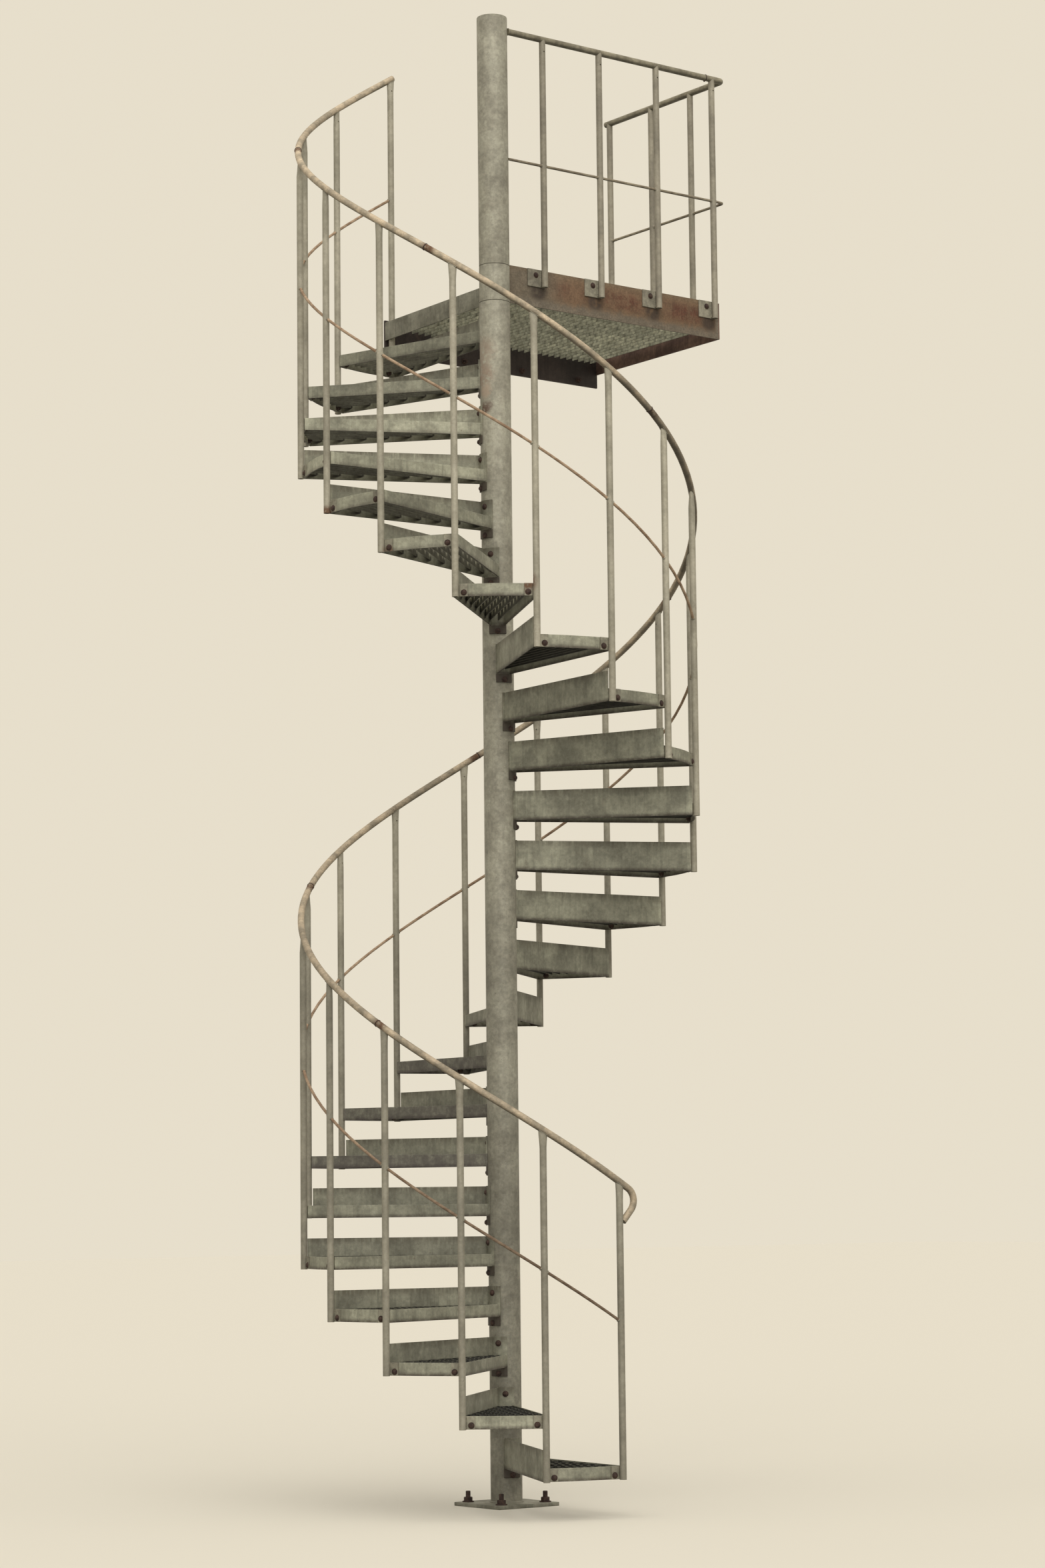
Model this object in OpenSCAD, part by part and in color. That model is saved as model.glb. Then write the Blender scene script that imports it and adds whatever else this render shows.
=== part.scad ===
// Fire escape stair tower: a galvanised steel spiral stair round one column, ending at a straight
// landing fixed to a wall. Going down, the stair turns counter-clockwise seen from above.
// Frame: millimetres, +Z up, +Y towards the wall, origin on the column's axis under its base plate.
// Baluster 0 stands at the landing's edge and baluster k at the front edge of tread k.

/* [Column] */
// Outside diameter of the column
column_d = 127; // [115:1:140]
// Wall thickness of the column
column_wall = 6; // [4:0.5:10]
// Height of the column's closed top above the ground
column_top_z = 6130; // [6100:5:6500]
// Thickness of the plate that closes the column
column_cap_t = 5; // [3:1:10]
// Length of the sleeve below the landing's deck
sleeve_below = 90; // [80:5:150]
// Length of the sleeve above the landing's deck
sleeve_above = 65; // [20:5:120]

/* [Base plate] */
// Side of the square base plate
base_w = 300; // [260:10:400]
// Thickness of the base plate
base_t = 15; // [10:1:30]
// Diameter of the anchor holes
anchor_hole_d = 22; // [14:1:28]
// Spacing of the anchor holes along each side
anchor_spacing = 220; // [180:5:230]

/* [Stair] */
// Height of the landing's deck above the ground
landing_z = 5000; // [4700:25:5100]
// Angle of baluster 0 at the landing, counter-clockwise from +X
first_angle = 86; // [84:0.5:88]
// Radius of the circle through the balusters and the handrail
rail_r = 812; // [780:1:850]
// Height of the handrail's centre above each tread
handrail_h = 1080; // [950:5:1120]
// Height of the mid rail's centre above each tread
mid_rail_h = 545; // [450:5:600]

/* [Treads] */
// Height of the front and end plates of a tread
tread_plate_h = 50; // [40:1:60]
// Height of a tread's rear plate above its walking surface
rear_plate_rise = 70; // [50:1:75]
// Thickness of the tread plates
tread_t = 5; // [3:0.5:8]
// Distance that the front corner reaches past the baluster's line
front_overhang = 10; // [6:1:16]
// Distance that the rear corner reaches behind the baluster's line
rear_overhang = 15; // [10:1:20]
// Width of the curved saddle against the column
saddle_w = 70; // [60:1:80]
// Thickness of the saddle
saddle_t = 6; // [4:0.5:8]
// Height of the saddle above the walking surface
saddle_above = 72; // [60:1:80]
// Length of the saddle below the walking surface
saddle_below = 86; // [70:1:95]

/* [Grating] */
// Spacing of the bearing bars
bearing_pitch = 34.3; // [28:0.1:42]
// Depth of the bearing bars
bearing_h = 30; // [25:1:40]
// Thickness of the bearing bars
bearing_t = 3; // [2:0.5:5]
// Spacing of the cross bars
cross_pitch = 76.2; // [60:0.1:100]
// Side of the square cross bars
cross_w = 6; // [4:0.5:8]
// Depth of the grating's top below the plates' top edges
grating_drop = 2; // [0:0.5:5]

/* [Tubes and rods] */
// Outside diameter of balusters, posts and handrails
tube_d = 26.9; // [24:0.1:30]
// Wall thickness of balusters and posts
tube_wall = 2.6; // [2:0.1:4]
// Diameter of the mid rail rod
rod_d = 11.5; // [9:0.5:14]
// Width of a baluster's pressed end at the handrail's centre
pressed_w = 37; // [31:1:40]
// Thickness of a baluster's pressed end at the handrail's centre
pressed_t = 15.5; // [12:0.5:20]
// Height of a baluster's pressed end, up to the handrail's centre
press_h = 70; // [50:1:90]
// Diameter of the drain hole in a baluster or a post
drain_d = 7; // [5:0.5:9]
// Distance of the drain hole below the handrail's centre
drain_drop = 54; // [45:1:70]

/* [Baluster tabs] */
// Thickness of the bolting tabs
tab_t = 5; // [4:0.5:8]
// Reach of a tab from the baluster's centre line
tab_reach = 47; // [42:1:55]
// Distance that a baluster's foot reaches below its lower tab
foot_below_tab = 2; // [1:1:10]

/* [Handrail ends] */
// Length of handrail past the first baluster
handrail_lead = 12; // [8:1:30]
// Length of handrail past the last baluster
handrail_tail = 42; // [30:1:80]
// Radius of the bend at the lower end
end_bend_r = 55; // [45:1:70]
// Angle of the bend at the lower end
end_bend_angle = 100; // [80:1:115]
// Length of the straight piece after the bend
end_straight = 58; // [30:1:90]

/* [Landing] */
// Outer face of the side plate, from the column's axis
landing_x = 1217; // [1205:1:1400]
// Front face of the wall plate, from the column's axis
landing_y = 835; // [830:1:900]
// Distance of the front plate's visible face in front of the column's axis
front_face_y = 16; // [10:1:25]
// Thickness of the landing's plates
landing_t = 6; // [4:0.5:10]
// Depth of the landing's plates below the deck
landing_drop = 80; // [60:1:90]
// Height of the toe boards above the deck
toe_h = 80; // [60:1:120]
// Distance of the nosing plate's face from the column's axis at the hub
nosing_x_hub = 3; // [0:1:10]
// Distance of the nosing plate's face from the column's axis at the wall
nosing_x_wall = 38; // [36:0.5:39]
// Thickness of the wall plate
wall_plate_t = 10; // [6:1:15]
// Depth of the wall plate below the deck
wall_plate_drop = 140; // [125:1:180]
// Height of the wall plate above the deck
wall_plate_rise = 10; // [0:1:30]
// Diameter of the wall plate's holes
wall_hole_d = 18; // [12:1:22]
// Spacing of the wall plate's holes
wall_hole_pitch = 320; // [280:5:330]
// Distance of the last wall hole from the side plate's outer face
wall_hole_end = 112; // [80:1:140]
// Depth of the wall holes below the deck
wall_hole_drop = 116; // [100:1:125]

/* [Landing guard] */
// Height of the top rail's centre above the deck
top_rail_h = 1072; // [950:1:1090]
// Height of the landing's mid rail above the deck
landing_mid_h = 525; // [450:1:600]
// Distance of the first front post from the column's axis
front_post_x = 239; // [190:1:245]
// Spacing of the other front posts
front_post_pitch = 316; // [250:1:325]
// Distance of the last front post from the side plate's outer face
corner_post_inset = 41; // [30:1:60]
// Distance of the first side post behind the column's axis
side_post_first = 180; // [140:1:200]
// Distance of the middle side post behind the column's axis
side_post_middle = 451; // [400:1:500]
// Distance of the last side post in front of the wall plate
side_post_last_gap = 90; // [80:1:150]
// Length of top rail past the last side post
top_rail_tail = 25; // [20:1:60]
// Radius of the bend where the top rail turns the landing's corner
corner_bend_r = 16; // [15:1:60]
// Radius of the bend where the mid rail turns the landing's corner
rod_bend_r = 18; // [10:1:60]
// Thickness of the post brackets
bracket_t = 6; // [4:0.5:10]
// Height of the post brackets
bracket_h = 75; // [60:1:79]
// Reach of a post bracket from the post's centre
bracket_reach = 79; // [60:1:90]
// Gap under the post brackets above the deck
bracket_lift = 5; // [2:1:12]

/* [Hidden] */
tread_count = 24;
treads_per_turn = 16;
gap = 0.3;            // clearance between a curved face and its neighbour
weld_sink = 0.5;      // depth that a tube sinks into the plate that it is welded to
weld_lap = 2;         // depth that a tread's plates run into the saddle and the end plate
round_fn = 96;
rings_per_bay = 3;    // straight pieces of the handrail between two balusters

column_r = column_d / 2;
clear_r = column_r + gap;
tube_r = tube_d / 2;
rod_r = rod_d / 2;
step_angle = 360 / treads_per_turn;
rise = landing_z / (tread_count + 1);
pitch_run = rail_r * step_angle * PI / 180;
pitch_angle = atan(rise / pitch_run);

sleeve_bottom = landing_z - sleeve_below;
sleeve_top = landing_z + sleeve_above;

// The tread's end plate lies just inside the balusters, with the tabs between them.
tab_r = rail_r - tube_r - 1.2;
end_r = tab_r - gap;
tab_angle = arc_angle(tab_reach, rail_r);
tab_back_angle = arc_angle(tube_r - tube_wall, rail_r);
front_corner_angle = step_angle / 2 + arc_angle(front_overhang, end_r);
rear_corner_angle = step_angle / 2 + arc_angle(rear_overhang, end_r);
saddle_r = clear_r + saddle_t;
saddle_angle = asin(saddle_w / 2 / saddle_r);
tray_hub_r = clear_r + saddle_t / 2;

// Points on the outer faces of a tread's front and rear plates, in the saddle and in the end plate.
front_line = tray_line(1, front_corner_angle);
rear_line = tray_line(-1, rear_corner_angle);
front_dir = unit(front_line[1] - front_line[0]);
rear_dir = unit(rear_line[1] - rear_line[0]);

front_inner_y = -front_face_y + landing_t;
front_post_y = -(front_face_y + bracket_t - weld_sink + tube_r);
side_post_x = landing_x + bracket_t - weld_sink + tube_r;
side_post_last = landing_y - side_post_last_gap;
front_posts = concat([front_post_x],
    [for (i = [2:-1:0]) landing_x - corner_post_inset - i * front_post_pitch]);
side_posts = [side_post_first, side_post_middle, side_post_last];

// Step positions of the handrail's ends and of the joints between its pieces
rail_start = -handrail_lead / pitch_run;
rail_end = tread_count + handrail_tail / pitch_run;
rail_cuts = [5.65, 11.75, 17.85];

function tread_name(k) = str("tread_", k < 10 ? "0" : "", k);
function tread_z(k) = landing_z - k * rise;
function baluster_angle(k) = first_angle + k * step_angle;
function polar(r, a) = [r * cos(a), r * sin(a)];
function unit(v) = v / norm(v);
function left_of(v) = [-v[1], v[0]];
function arc_angle(length, radius) = length / radius * 180 / PI;
function tray_line(side, corner_angle) = [
    polar(tray_hub_r, side * (saddle_angle - arc_angle(weld_lap, saddle_r))),
    polar(end_r - tread_t / 2, side * (corner_angle - arc_angle(weld_lap, end_r)))];

// Upright plate standing on the line from p to q, its thickness to the left of that line.
module plate(p, q, t, z0, z1) {
    side = left_of(unit(q - p)) * t;
    translate([0, 0, z0])
        linear_extrude(z1 - z0)
            polygon([p, q, q + side, p + side]);
}

// Upright band bent round the axis, from angle a0 to angle a1.
module band(r, t, a0, a1, z0, z1) {
    rotate([0, 0, a0])
        rotate_extrude(angle = a1 - a0, $fn = round_fn)
            translate([r, z0])
                square([t, z1 - z0]);
}

module pipe(d, wall, h) {
    difference() {
        cylinder(d = d, h = h, $fn = round_fn);
        translate([0, 0, -1])
            cylinder(d = d - 2 * wall, h = h + 2, $fn = round_fn);
    }
}

// Tube with flat ends along a path of rings; each ring is [centre, outward, across].
function ring_points(ring, r, sides) =
    [for (i = [0:sides - 1]) ring[0]
        + r * cos(360 * i / sides) * ring[1]
        + r * sin(360 * i / sides) * ring[2]];

module sweep(rings, r, sides) {
    last = len(rings) - 1;
    points = [for (ring = rings) each ring_points(ring, r, sides)];
    walls = [for (j = [0:last - 1]) for (i = [0:sides - 1])
        let (n = (i + 1) % sides)
        [j * sides + i, (j + 1) * sides + i, (j + 1) * sides + n, j * sides + n]];
    first_end = [for (i = [0:sides - 1]) i];
    far_end = [for (i = [sides - 1:-1:0]) last * sides + i];
    polyhedron(points, concat([first_end], walls, [far_end]));
}

// Ring on the stair's helix at step position k, its centre h above the treads.
function helix_ring(k, h) =
    let (a = baluster_angle(k))
    [[rail_r * cos(a), rail_r * sin(a), tread_z(k) + h],
     [cos(a), sin(a), 0],
     [sin(a) * sin(pitch_angle), -cos(a) * sin(pitch_angle), -cos(pitch_angle)]];

// Column

module base_plate() {
    color("silver")
        difference() {
            translate([-base_w / 2, -base_w / 2, 0])
                cube([base_w, base_w, base_t]);
            for (x = [-1, 1], y = [-1, 1])
                translate([x * anchor_spacing / 2, y * anchor_spacing / 2, -1])
                    cylinder(d = anchor_hole_d, h = base_t + 2, $fn = 48);
        }
}

module column() {
    color("lightgray")
        translate([0, 0, base_t])
            pipe(column_d, column_wall, sleeve_bottom - base_t);
}

module landing_hub() {
    color("lightgray")
        translate([0, 0, sleeve_bottom])
            pipe(column_d, column_wall, sleeve_top - sleeve_bottom);
}

module column_top() {
    color("lightgray")
        translate([0, 0, sleeve_top])
            difference() {
                cylinder(d = column_d, h = column_top_z - sleeve_top, $fn = round_fn);
                translate([0, 0, -1])
                    cylinder(d = column_d - 2 * column_wall,
                        h = column_top_z - sleeve_top - column_cap_t + 1, $fn = round_fn);
            }
}

// Treads: the local frame has the tread's mid-line along +X, its front to +Y and its top at z = 0

module place_tread(k) {
    translate([0, 0, tread_z(k)])
        rotate([0, 0, baluster_angle(k) - step_angle / 2])
            children();
}

// Block with a tread's outline out to radius r, its two straight sides moved in by inset.
module tray_block(r, inset, z0, z1) {
    front = front_line[0] - left_of(front_dir) * inset;
    rear = rear_line[0] + left_of(rear_dir) * inset;
    intersection() {
        translate([0, 0, z0])
            cylinder(r = r, h = z1 - z0, $fn = round_fn);
        translate([0, 0, z0 - 1])
            linear_extrude(z1 - z0 + 2)
                polygon([front, front + front_dir * rail_r, rear + rear_dir * rail_r, rear]);
    }
}

module tread(k) {
    bottom = -tread_plate_h;
    rear_in = rear_line[0] + left_of(rear_dir) * tread_t;
    color("silver")
        place_tread(k) {
            difference() {
                tray_block(end_r, 0, bottom, rear_plate_rise);
                tray_block(end_r - tread_t, tread_t, bottom - 1, rear_plate_rise + 1);
                plate(rear_in, rear_in + rear_dir * rail_r, rail_r, 0, rear_plate_rise + 1);
                translate([0, 0, bottom - 1])
                    cylinder(r = tray_hub_r, h = rear_plate_rise - bottom + 2, $fn = round_fn);
            }
            band(clear_r, saddle_t, -saddle_angle, saddle_angle, -saddle_below, saddle_above);
        }
}

// Space inside a tread's tray, where its grating lies.
module tray_space(z0, z1) {
    difference() {
        tray_block(end_r - tread_t - gap, tread_t, z0, z1);
        translate([0, 0, z0 - 1])
            cylinder(r = saddle_r + gap, h = z1 - z0 + 2, $fn = round_fn);
    }
}

// Bars of a grating over a field that runs along +X from x = 0 and along -Y from y = 0.
module bars(length, width, first_bearing, first_cross) {
    for (y = [first_bearing:bearing_pitch:width])
        translate([0, -y - bearing_t, -bearing_h])
            cube([length, bearing_t, bearing_h]);
    for (x = [first_cross:cross_pitch:length])
        translate([x, -width, -cross_w])
            cube([cross_w, width, cross_w]);
}

module tread_grating(k) {
    along = front_line[1] - front_line[0];
    color("gray")
        place_tread(k)
            intersection() {
                translate([front_line[0][0], front_line[0][1], -grating_drop])
                    rotate([0, 0, atan2(along[1], along[0])])
                        bars(end_r, end_r / 2, bearing_pitch - tread_t, cross_pitch / 3);
                tray_space(-grating_drop - bearing_h, -grating_drop);
            }
}

module tread_gratings(first, last) {
    for (k = [first:last])
        tread_grating(k);
}

// Balusters, with pressed tops cut to fit under the handrail

// Room for the handrail where it passes over this axis at height h.
module handrail_room(h) {
    translate([0, 0, h])
        rotate([90 - pitch_angle, 0, 0])
            translate([0, 0, -tube_d])
                cylinder(r = tube_r + gap, h = 2 * tube_d, $fn = round_fn);
}

// Round bar from z = low that is pressed oval towards its top, smaller by an inset all round.
module pressed_bar(top, inset, low) {
    r = tube_r - inset;
    press_z = top - press_h;
    translate([0, 0, low])
        cylinder(r = r, h = press_z - low, $fn = round_fn);
    intersection() {
        translate([0, 0, press_z])
            cylinder(r1 = r, r2 = pressed_w / 2 - inset, h = press_h, $fn = round_fn);
        rotate([90, 0, 0])
            translate([0, 0, -tube_d])
                linear_extrude(2 * tube_d)
                    polygon([
                        [-r - gap, press_z - 1], [r + gap, press_z - 1],
                        [pressed_t / 2 - inset, top + 1], [inset - pressed_t / 2, top + 1]]);
    }
}

// Baluster along +Z from z = 0, with its outward side to +X.
module baluster_tube(rail_z) {
    difference() {
        pressed_bar(rail_z, 0, 0);
        pressed_bar(rail_z, tube_wall, -1);
        handrail_room(rail_z);
        translate([-tube_d, 0, rail_z - drain_drop])
            rotate([0, 90, 0])
                cylinder(d = drain_d, h = tube_d, $fn = 24);
    }
}

module baluster(k) {
    foot = tread_z(min(k + 1, tread_count)) - tread_plate_h - foot_below_tab;
    rotate([0, 0, baluster_angle(k)]) {
        translate([rail_r, 0, foot])
            baluster_tube(tread_z(k) + handrail_h - foot);
        if (k < tread_count)
            tab_band(-tab_back_angle, tab_angle, tread_z(k + 1));
        if (k > 0)
            tab_band(-tab_angle, tab_back_angle, tread_z(k));
    }
    if (k == 0)
        wall_tab();
}

// Bolting tab whose top is at height z.
module tab_band(a0, a1, z) {
    difference() {
        band(tab_r, tab_t, a0, a1, z - tread_plate_h, z);
        translate([rail_r, 0, z - tread_plate_h - 1])
            cylinder(r = tube_r - tube_wall, h = tread_plate_h + 2, $fn = round_fn);
    }
}

// Tab that ties baluster 0 to the wall plate.
module wall_tab() {
    centre = polar(rail_r, first_angle);
    reach = centre[1] + tube_r - weld_sink;
    translate([centre[0] - tab_t / 2, reach, landing_z - tread_plate_h])
        cube([tab_t, landing_y - reach, tread_plate_h]);
}

module stair_balusters(first, last) {
    color("lightgray")
        for (k = [first:last])
            baluster(k);
}

// Handrail and mid rail

function handrail_rings(k0, k1) =
    let (n = ceil((k1 - k0) * rings_per_bay))
    [for (i = [0:n]) helix_ring(k0 + (k1 - k0) * i / n, handrail_h)];

// Rings of the bent lower end: the tube turns down and back in the plane of the helix's tangent.
function end_bend_rings(k) =
    let (start = helix_ring(k, handrail_h),
         out = start[1],
         along = [-out[1], out[0], 0],
         steps = 8)
    [for (i = [1:steps + 1])
        let (turn = end_bend_angle * min(i, steps) / steps,
             a = pitch_angle + turn,
             run = end_bend_r * (sin(a) - sin(pitch_angle)) + (i > steps ? end_straight * cos(a) : 0),
             fall = end_bend_r * (cos(pitch_angle) - cos(a)) + (i > steps ? end_straight * sin(a) : 0))
        [start[0] + along * run - [0, 0, fall], out, -along * sin(a) - [0, 0, cos(a)]]];

module handrail(k0, k1, bent = false) {
    rings = concat(handrail_rings(k0, k1), bent ? end_bend_rings(k1) : []);
    color("tan")
        sweep(rings, tube_r, 12);
}

module mid_rail() {
    inset = (tube_r + gap) / pitch_run;
    color("rosybrown")
        for (k = [0:tread_count - 1])
            sweep([for (i = [0:rings_per_bay])
                helix_ring(k + inset + (1 - 2 * inset) * i / rings_per_bay, mid_rail_h)], rod_r, 8);
}

// Landing

module hub_clearance() {
    translate([0, 0, sleeve_bottom - 1])
        cylinder(r = clear_r, h = sleeve_top - sleeve_bottom + 2 * toe_h, $fn = round_fn);
}

module landing_front_plate() {
    color("silver")
        difference() {
            translate([0, -front_face_y, landing_z - landing_drop])
                cube([landing_x - landing_t, landing_t, landing_drop + toe_h]);
            hub_clearance();
        }
}

module landing_side_plate() {
    color("silver")
        translate([landing_x - landing_t, -front_face_y, landing_z - landing_drop])
            cube([landing_t, landing_y + front_face_y, landing_drop + toe_h]);
}

module landing_nosing() {
    color("silver")
        difference() {
            plate([nosing_x_wall, landing_y], [nosing_x_hub, 0], tread_t,
                landing_z - landing_drop, landing_z);
            hub_clearance();
            translate([0, landing_y, 0])
                cube([landing_x, tube_d, 2 * landing_z]);
        }
}

module landing_wall_plate() {
    color("dimgray")
        difference() {
            translate([nosing_x_wall, landing_y, landing_z - wall_plate_drop])
                cube([landing_x - nosing_x_wall, wall_plate_t, wall_plate_drop + wall_plate_rise]);
            for (i = [0:3])
                translate([landing_x - wall_hole_end - i * wall_hole_pitch, landing_y - 1,
                        landing_z - wall_hole_drop])
                    rotate([-90, 0, 0])
                        cylinder(d = wall_hole_d, h = wall_plate_t + 2, $fn = 48);
        }
}

// Space for the grating between the landing's plates, open round baluster 0.
module landing_field(z0, z1) {
    slope = (nosing_x_wall - nosing_x_hub) / landing_y;
    inner_hub = nosing_x_hub + tread_t * sqrt(1 + slope * slope);
    inner_wall = nosing_x_wall + tread_t * sqrt(1 + slope * slope);
    post_x = rail_r * cos(first_angle);
    post_y = rail_r * sin(first_angle);
    post_room = tube_r + gap;
    difference() {
        translate([0, 0, z0])
            linear_extrude(z1 - z0)
                polygon([
                    [inner_hub, 0], [column_r, front_inner_y],
                    [landing_x - landing_t, front_inner_y], [landing_x - landing_t, landing_y],
                    [inner_wall, landing_y]]);
        hub_clearance();
        translate([0, post_y - post_room, z0 - 1])
            cube([post_x + post_room, landing_y, z1 - z0 + 2]);
    }
}

// Its bearing bars run to the wall and are counted from the side plate.
module landing_grating() {
    color("gray")
        intersection() {
            translate([landing_x - landing_t, front_inner_y, landing_z - grating_drop])
                rotate([0, 0, 90])
                    mirror([0, 1, 0])
                        bars(landing_y - front_inner_y, landing_x - landing_t - nosing_x_hub,
                            bearing_pitch - bearing_t, cross_pitch / 2);
            landing_field(landing_z - grating_drop - bearing_h, landing_z - grating_drop);
        }
}

// Landing guard

// Post on the axis, its foot at z = 0, with its bracket on the +Y side reaching towards -X.
module post() {
    height = top_rail_h - bracket_lift;
    difference() {
        pipe(tube_d, tube_wall, height);
        translate([-tube_d, 0, height])
            rotate([0, 90, 0])
                cylinder(r = tube_r + gap, h = 2 * tube_d, $fn = round_fn);
        translate([0, 0, height - drain_drop])
            rotate([90, 0, 0])
                cylinder(d = drain_d, h = tube_d, $fn = 24);
    }
    difference() {
        translate([-bracket_reach, tube_r - weld_sink, 0])
            cube([bracket_reach + tube_r, bracket_t, bracket_h]);
        translate([0, 0, -1])
            cylinder(r = tube_r - tube_wall, h = bracket_h + 2, $fn = round_fn);
    }
}

// The front brackets reach towards the column and the side brackets towards the wall.
module landing_posts() {
    color("lightgray")
        translate([0, 0, landing_z + bracket_lift]) {
            for (x = front_posts)
                translate([x, front_post_y, 0])
                    post();
            for (y = side_posts)
                translate([side_post_x, y, 0])
                    rotate([0, 0, 90])
                        mirror([1, 0, 0])
                            post();
        }
}

module rod_x(x0, x1, y, z, r) {
    translate([x0, y, z])
        rotate([0, 90, 0])
            cylinder(r = r, h = x1 - x0, $fn = 48);
}

module rod_y(y0, y1, x, z, r) {
    translate([x, y0, z])
        rotate([-90, 0, 0])
            cylinder(r = r, h = y1 - y0, $fn = 48);
}

// Quarter bend that joins a front rail to a side rail.
module corner_bend(z, r, bend_r) {
    translate([side_post_x - bend_r, front_post_y + bend_r, z])
        rotate([0, 0, -90])
            rotate_extrude(angle = 90, $fn = round_fn)
                translate([bend_r, 0])
                    circle(r = r, $fn = 48);
}

module landing_top_rail() {
    z = landing_z + top_rail_h;
    color("tan")
        difference() {
            union() {
                rod_x(0, side_post_x - corner_bend_r, front_post_y, z, tube_r);
                corner_bend(z, tube_r, corner_bend_r);
                rod_y(front_post_y + corner_bend_r, side_post_last + top_rail_tail,
                    side_post_x, z, tube_r);
            }
            translate([0, 0, z - tube_d])
                cylinder(r = clear_r, h = 2 * tube_d, $fn = round_fn);
        }
}

module landing_mid_rail() {
    z = landing_z + landing_mid_h;
    near = tube_r + gap;
    color("lightgray") {
        difference() {
            rod_x(0, front_posts[0] - near, front_post_y, z, rod_r);
            translate([0, 0, z - tube_d])
                cylinder(r = clear_r, h = 2 * tube_d, $fn = round_fn);
        }
        for (i = [0:2])
            rod_x(front_posts[i] + near, front_posts[i + 1] - near, front_post_y, z, rod_r);
        rod_x(front_posts[3] + near, side_post_x - rod_bend_r, front_post_y, z, rod_r);
        corner_bend(z, rod_r, rod_bend_r);
        rod_y(front_post_y + rod_bend_r, side_posts[0] - near, side_post_x, z, rod_r);
        for (i = [0:1])
            rod_y(side_posts[i] + near, side_posts[i + 1] - near, side_post_x, z, rod_r);
    }
}

base_plate();
column();
landing_hub();
column_top();
for (k = [1:tread_count])
    tread(k);
tread_gratings(1, 6);  // tread_gratings_1
tread_gratings(7, 12);  // tread_gratings_2
tread_gratings(13, 18);  // tread_gratings_3
tread_gratings(19, 24);  // tread_gratings_4
landing_front_plate();
landing_side_plate();
landing_nosing();
landing_wall_plate();
landing_grating();
handrail(rail_start, rail_cuts[0]);  // handrail_1
handrail(rail_cuts[0], rail_cuts[1]);  // handrail_2
handrail(rail_cuts[1], rail_cuts[2]);  // handrail_3
handrail(rail_cuts[2], rail_end, bent = true);  // handrail_4
mid_rail();
stair_balusters(0, 12);  // stair_balusters_upper
stair_balusters(13, tread_count);  // stair_balusters_lower
landing_posts();
landing_top_rail();
landing_mid_rail();
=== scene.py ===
# %% [markdown]
# # A galvanised spiral stair, cell by cell
# The real object is an outdoor stair: plate treads filled with bar grating turn round one steel column
# and end at a railed landing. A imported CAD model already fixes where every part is. Here each part gets
# the look of the real one: rounded edges, welds, bolts, twisted grating rods and weathered zinc.

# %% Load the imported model
import math

import bmesh
import bpy
from mathutils import Matrix, Vector


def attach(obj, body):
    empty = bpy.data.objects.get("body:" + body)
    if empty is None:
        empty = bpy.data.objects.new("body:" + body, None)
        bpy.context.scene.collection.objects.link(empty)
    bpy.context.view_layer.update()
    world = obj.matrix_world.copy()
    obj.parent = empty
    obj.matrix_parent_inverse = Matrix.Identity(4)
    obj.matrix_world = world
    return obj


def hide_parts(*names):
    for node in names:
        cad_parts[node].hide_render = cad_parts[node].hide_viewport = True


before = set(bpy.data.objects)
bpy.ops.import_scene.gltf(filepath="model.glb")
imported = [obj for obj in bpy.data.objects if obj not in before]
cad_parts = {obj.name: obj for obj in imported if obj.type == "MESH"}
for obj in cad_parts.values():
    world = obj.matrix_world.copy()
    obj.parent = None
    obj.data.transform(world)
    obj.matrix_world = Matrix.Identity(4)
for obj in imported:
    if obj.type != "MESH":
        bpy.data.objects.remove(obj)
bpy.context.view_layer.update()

print("CAD nodes:", len(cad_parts))

# %% [markdown]
# ## Sizes
# Everything in Blender is in metres, in the same place as in the CAD model. The numbers that many parts
# share are written once, here, so that a tread and the baluster bolted to it can't drift apart.

# %% Sizes that the whole stair shares
LANDING_Z = 5.0
RISE = 0.2
TREAD_COUNT = 24
STEP_ANGLE = math.radians(22.5)
FIRST_ANGLE = math.radians(86)
RAIL_R = 0.812
HANDRAIL_H = 1.080
MID_RAIL_H = 0.545
TUBE_R = 0.01345
TUBE_WALL = 0.0026
ROD_R = 0.00575
COLUMN_R = 0.0635
HUB_CLEAR = COLUMN_R + 0.0003
PITCH_RUN = RAIL_R * STEP_ANGLE
PITCH_ANGLE = math.atan2(RISE, PITCH_RUN)
FULL_TURN = 2 * math.pi
QUARTER_TURN = math.pi / 2


def tread_z(step):
    """Height of a tread's walking surface, counted down from the landing."""
    return LANDING_Z - RISE * step


def baluster_angle(step):
    """Angle of a baluster round the column. Number 0 stands at the landing's edge."""
    return FIRST_ANGLE + STEP_ANGLE * step


def turned(angle, height=0.0):
    """Matrix that carries a shape round the column by an angle and up to a height."""
    return Matrix.Translation((0, 0, height)) @ Matrix.Rotation(angle, 4, "Z")


def polar(radius, angle):
    """Point of the plan at a radius and an angle round the column."""
    return Vector((radius * math.cos(angle), radius * math.sin(angle), 0))


def on_coil(step, height):
    """Point over the balusters' circle, at a height above the slope of the treads."""
    return polar(RAIL_R, baluster_angle(step)) + Vector((0, 0, tread_z(step) + height))


print("pitch of the handrail in degrees:", round(math.degrees(PITCH_ANGLE), 2))

# %% [markdown]
# ## Camera
# The photograph was taken from low down, some 15 metres away, with a short telephoto lens. A camera
# could be placed by eye, but measured points on the stair give its place, direction and lens directly.
# The three axes of the camera are built one after the other, and the small roll comes last.

# %% Camera
CAMERA_PLACE = (-9.024, -11.834, 1.212)
CAMERA_YAW = 37.69
CAMERA_PITCH = 6.48
CAMERA_ROLL = math.radians(-0.62)
LENS_MM = 84.15
SENSOR_MM = 36.0
FAR_LIMIT = 200.0


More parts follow.
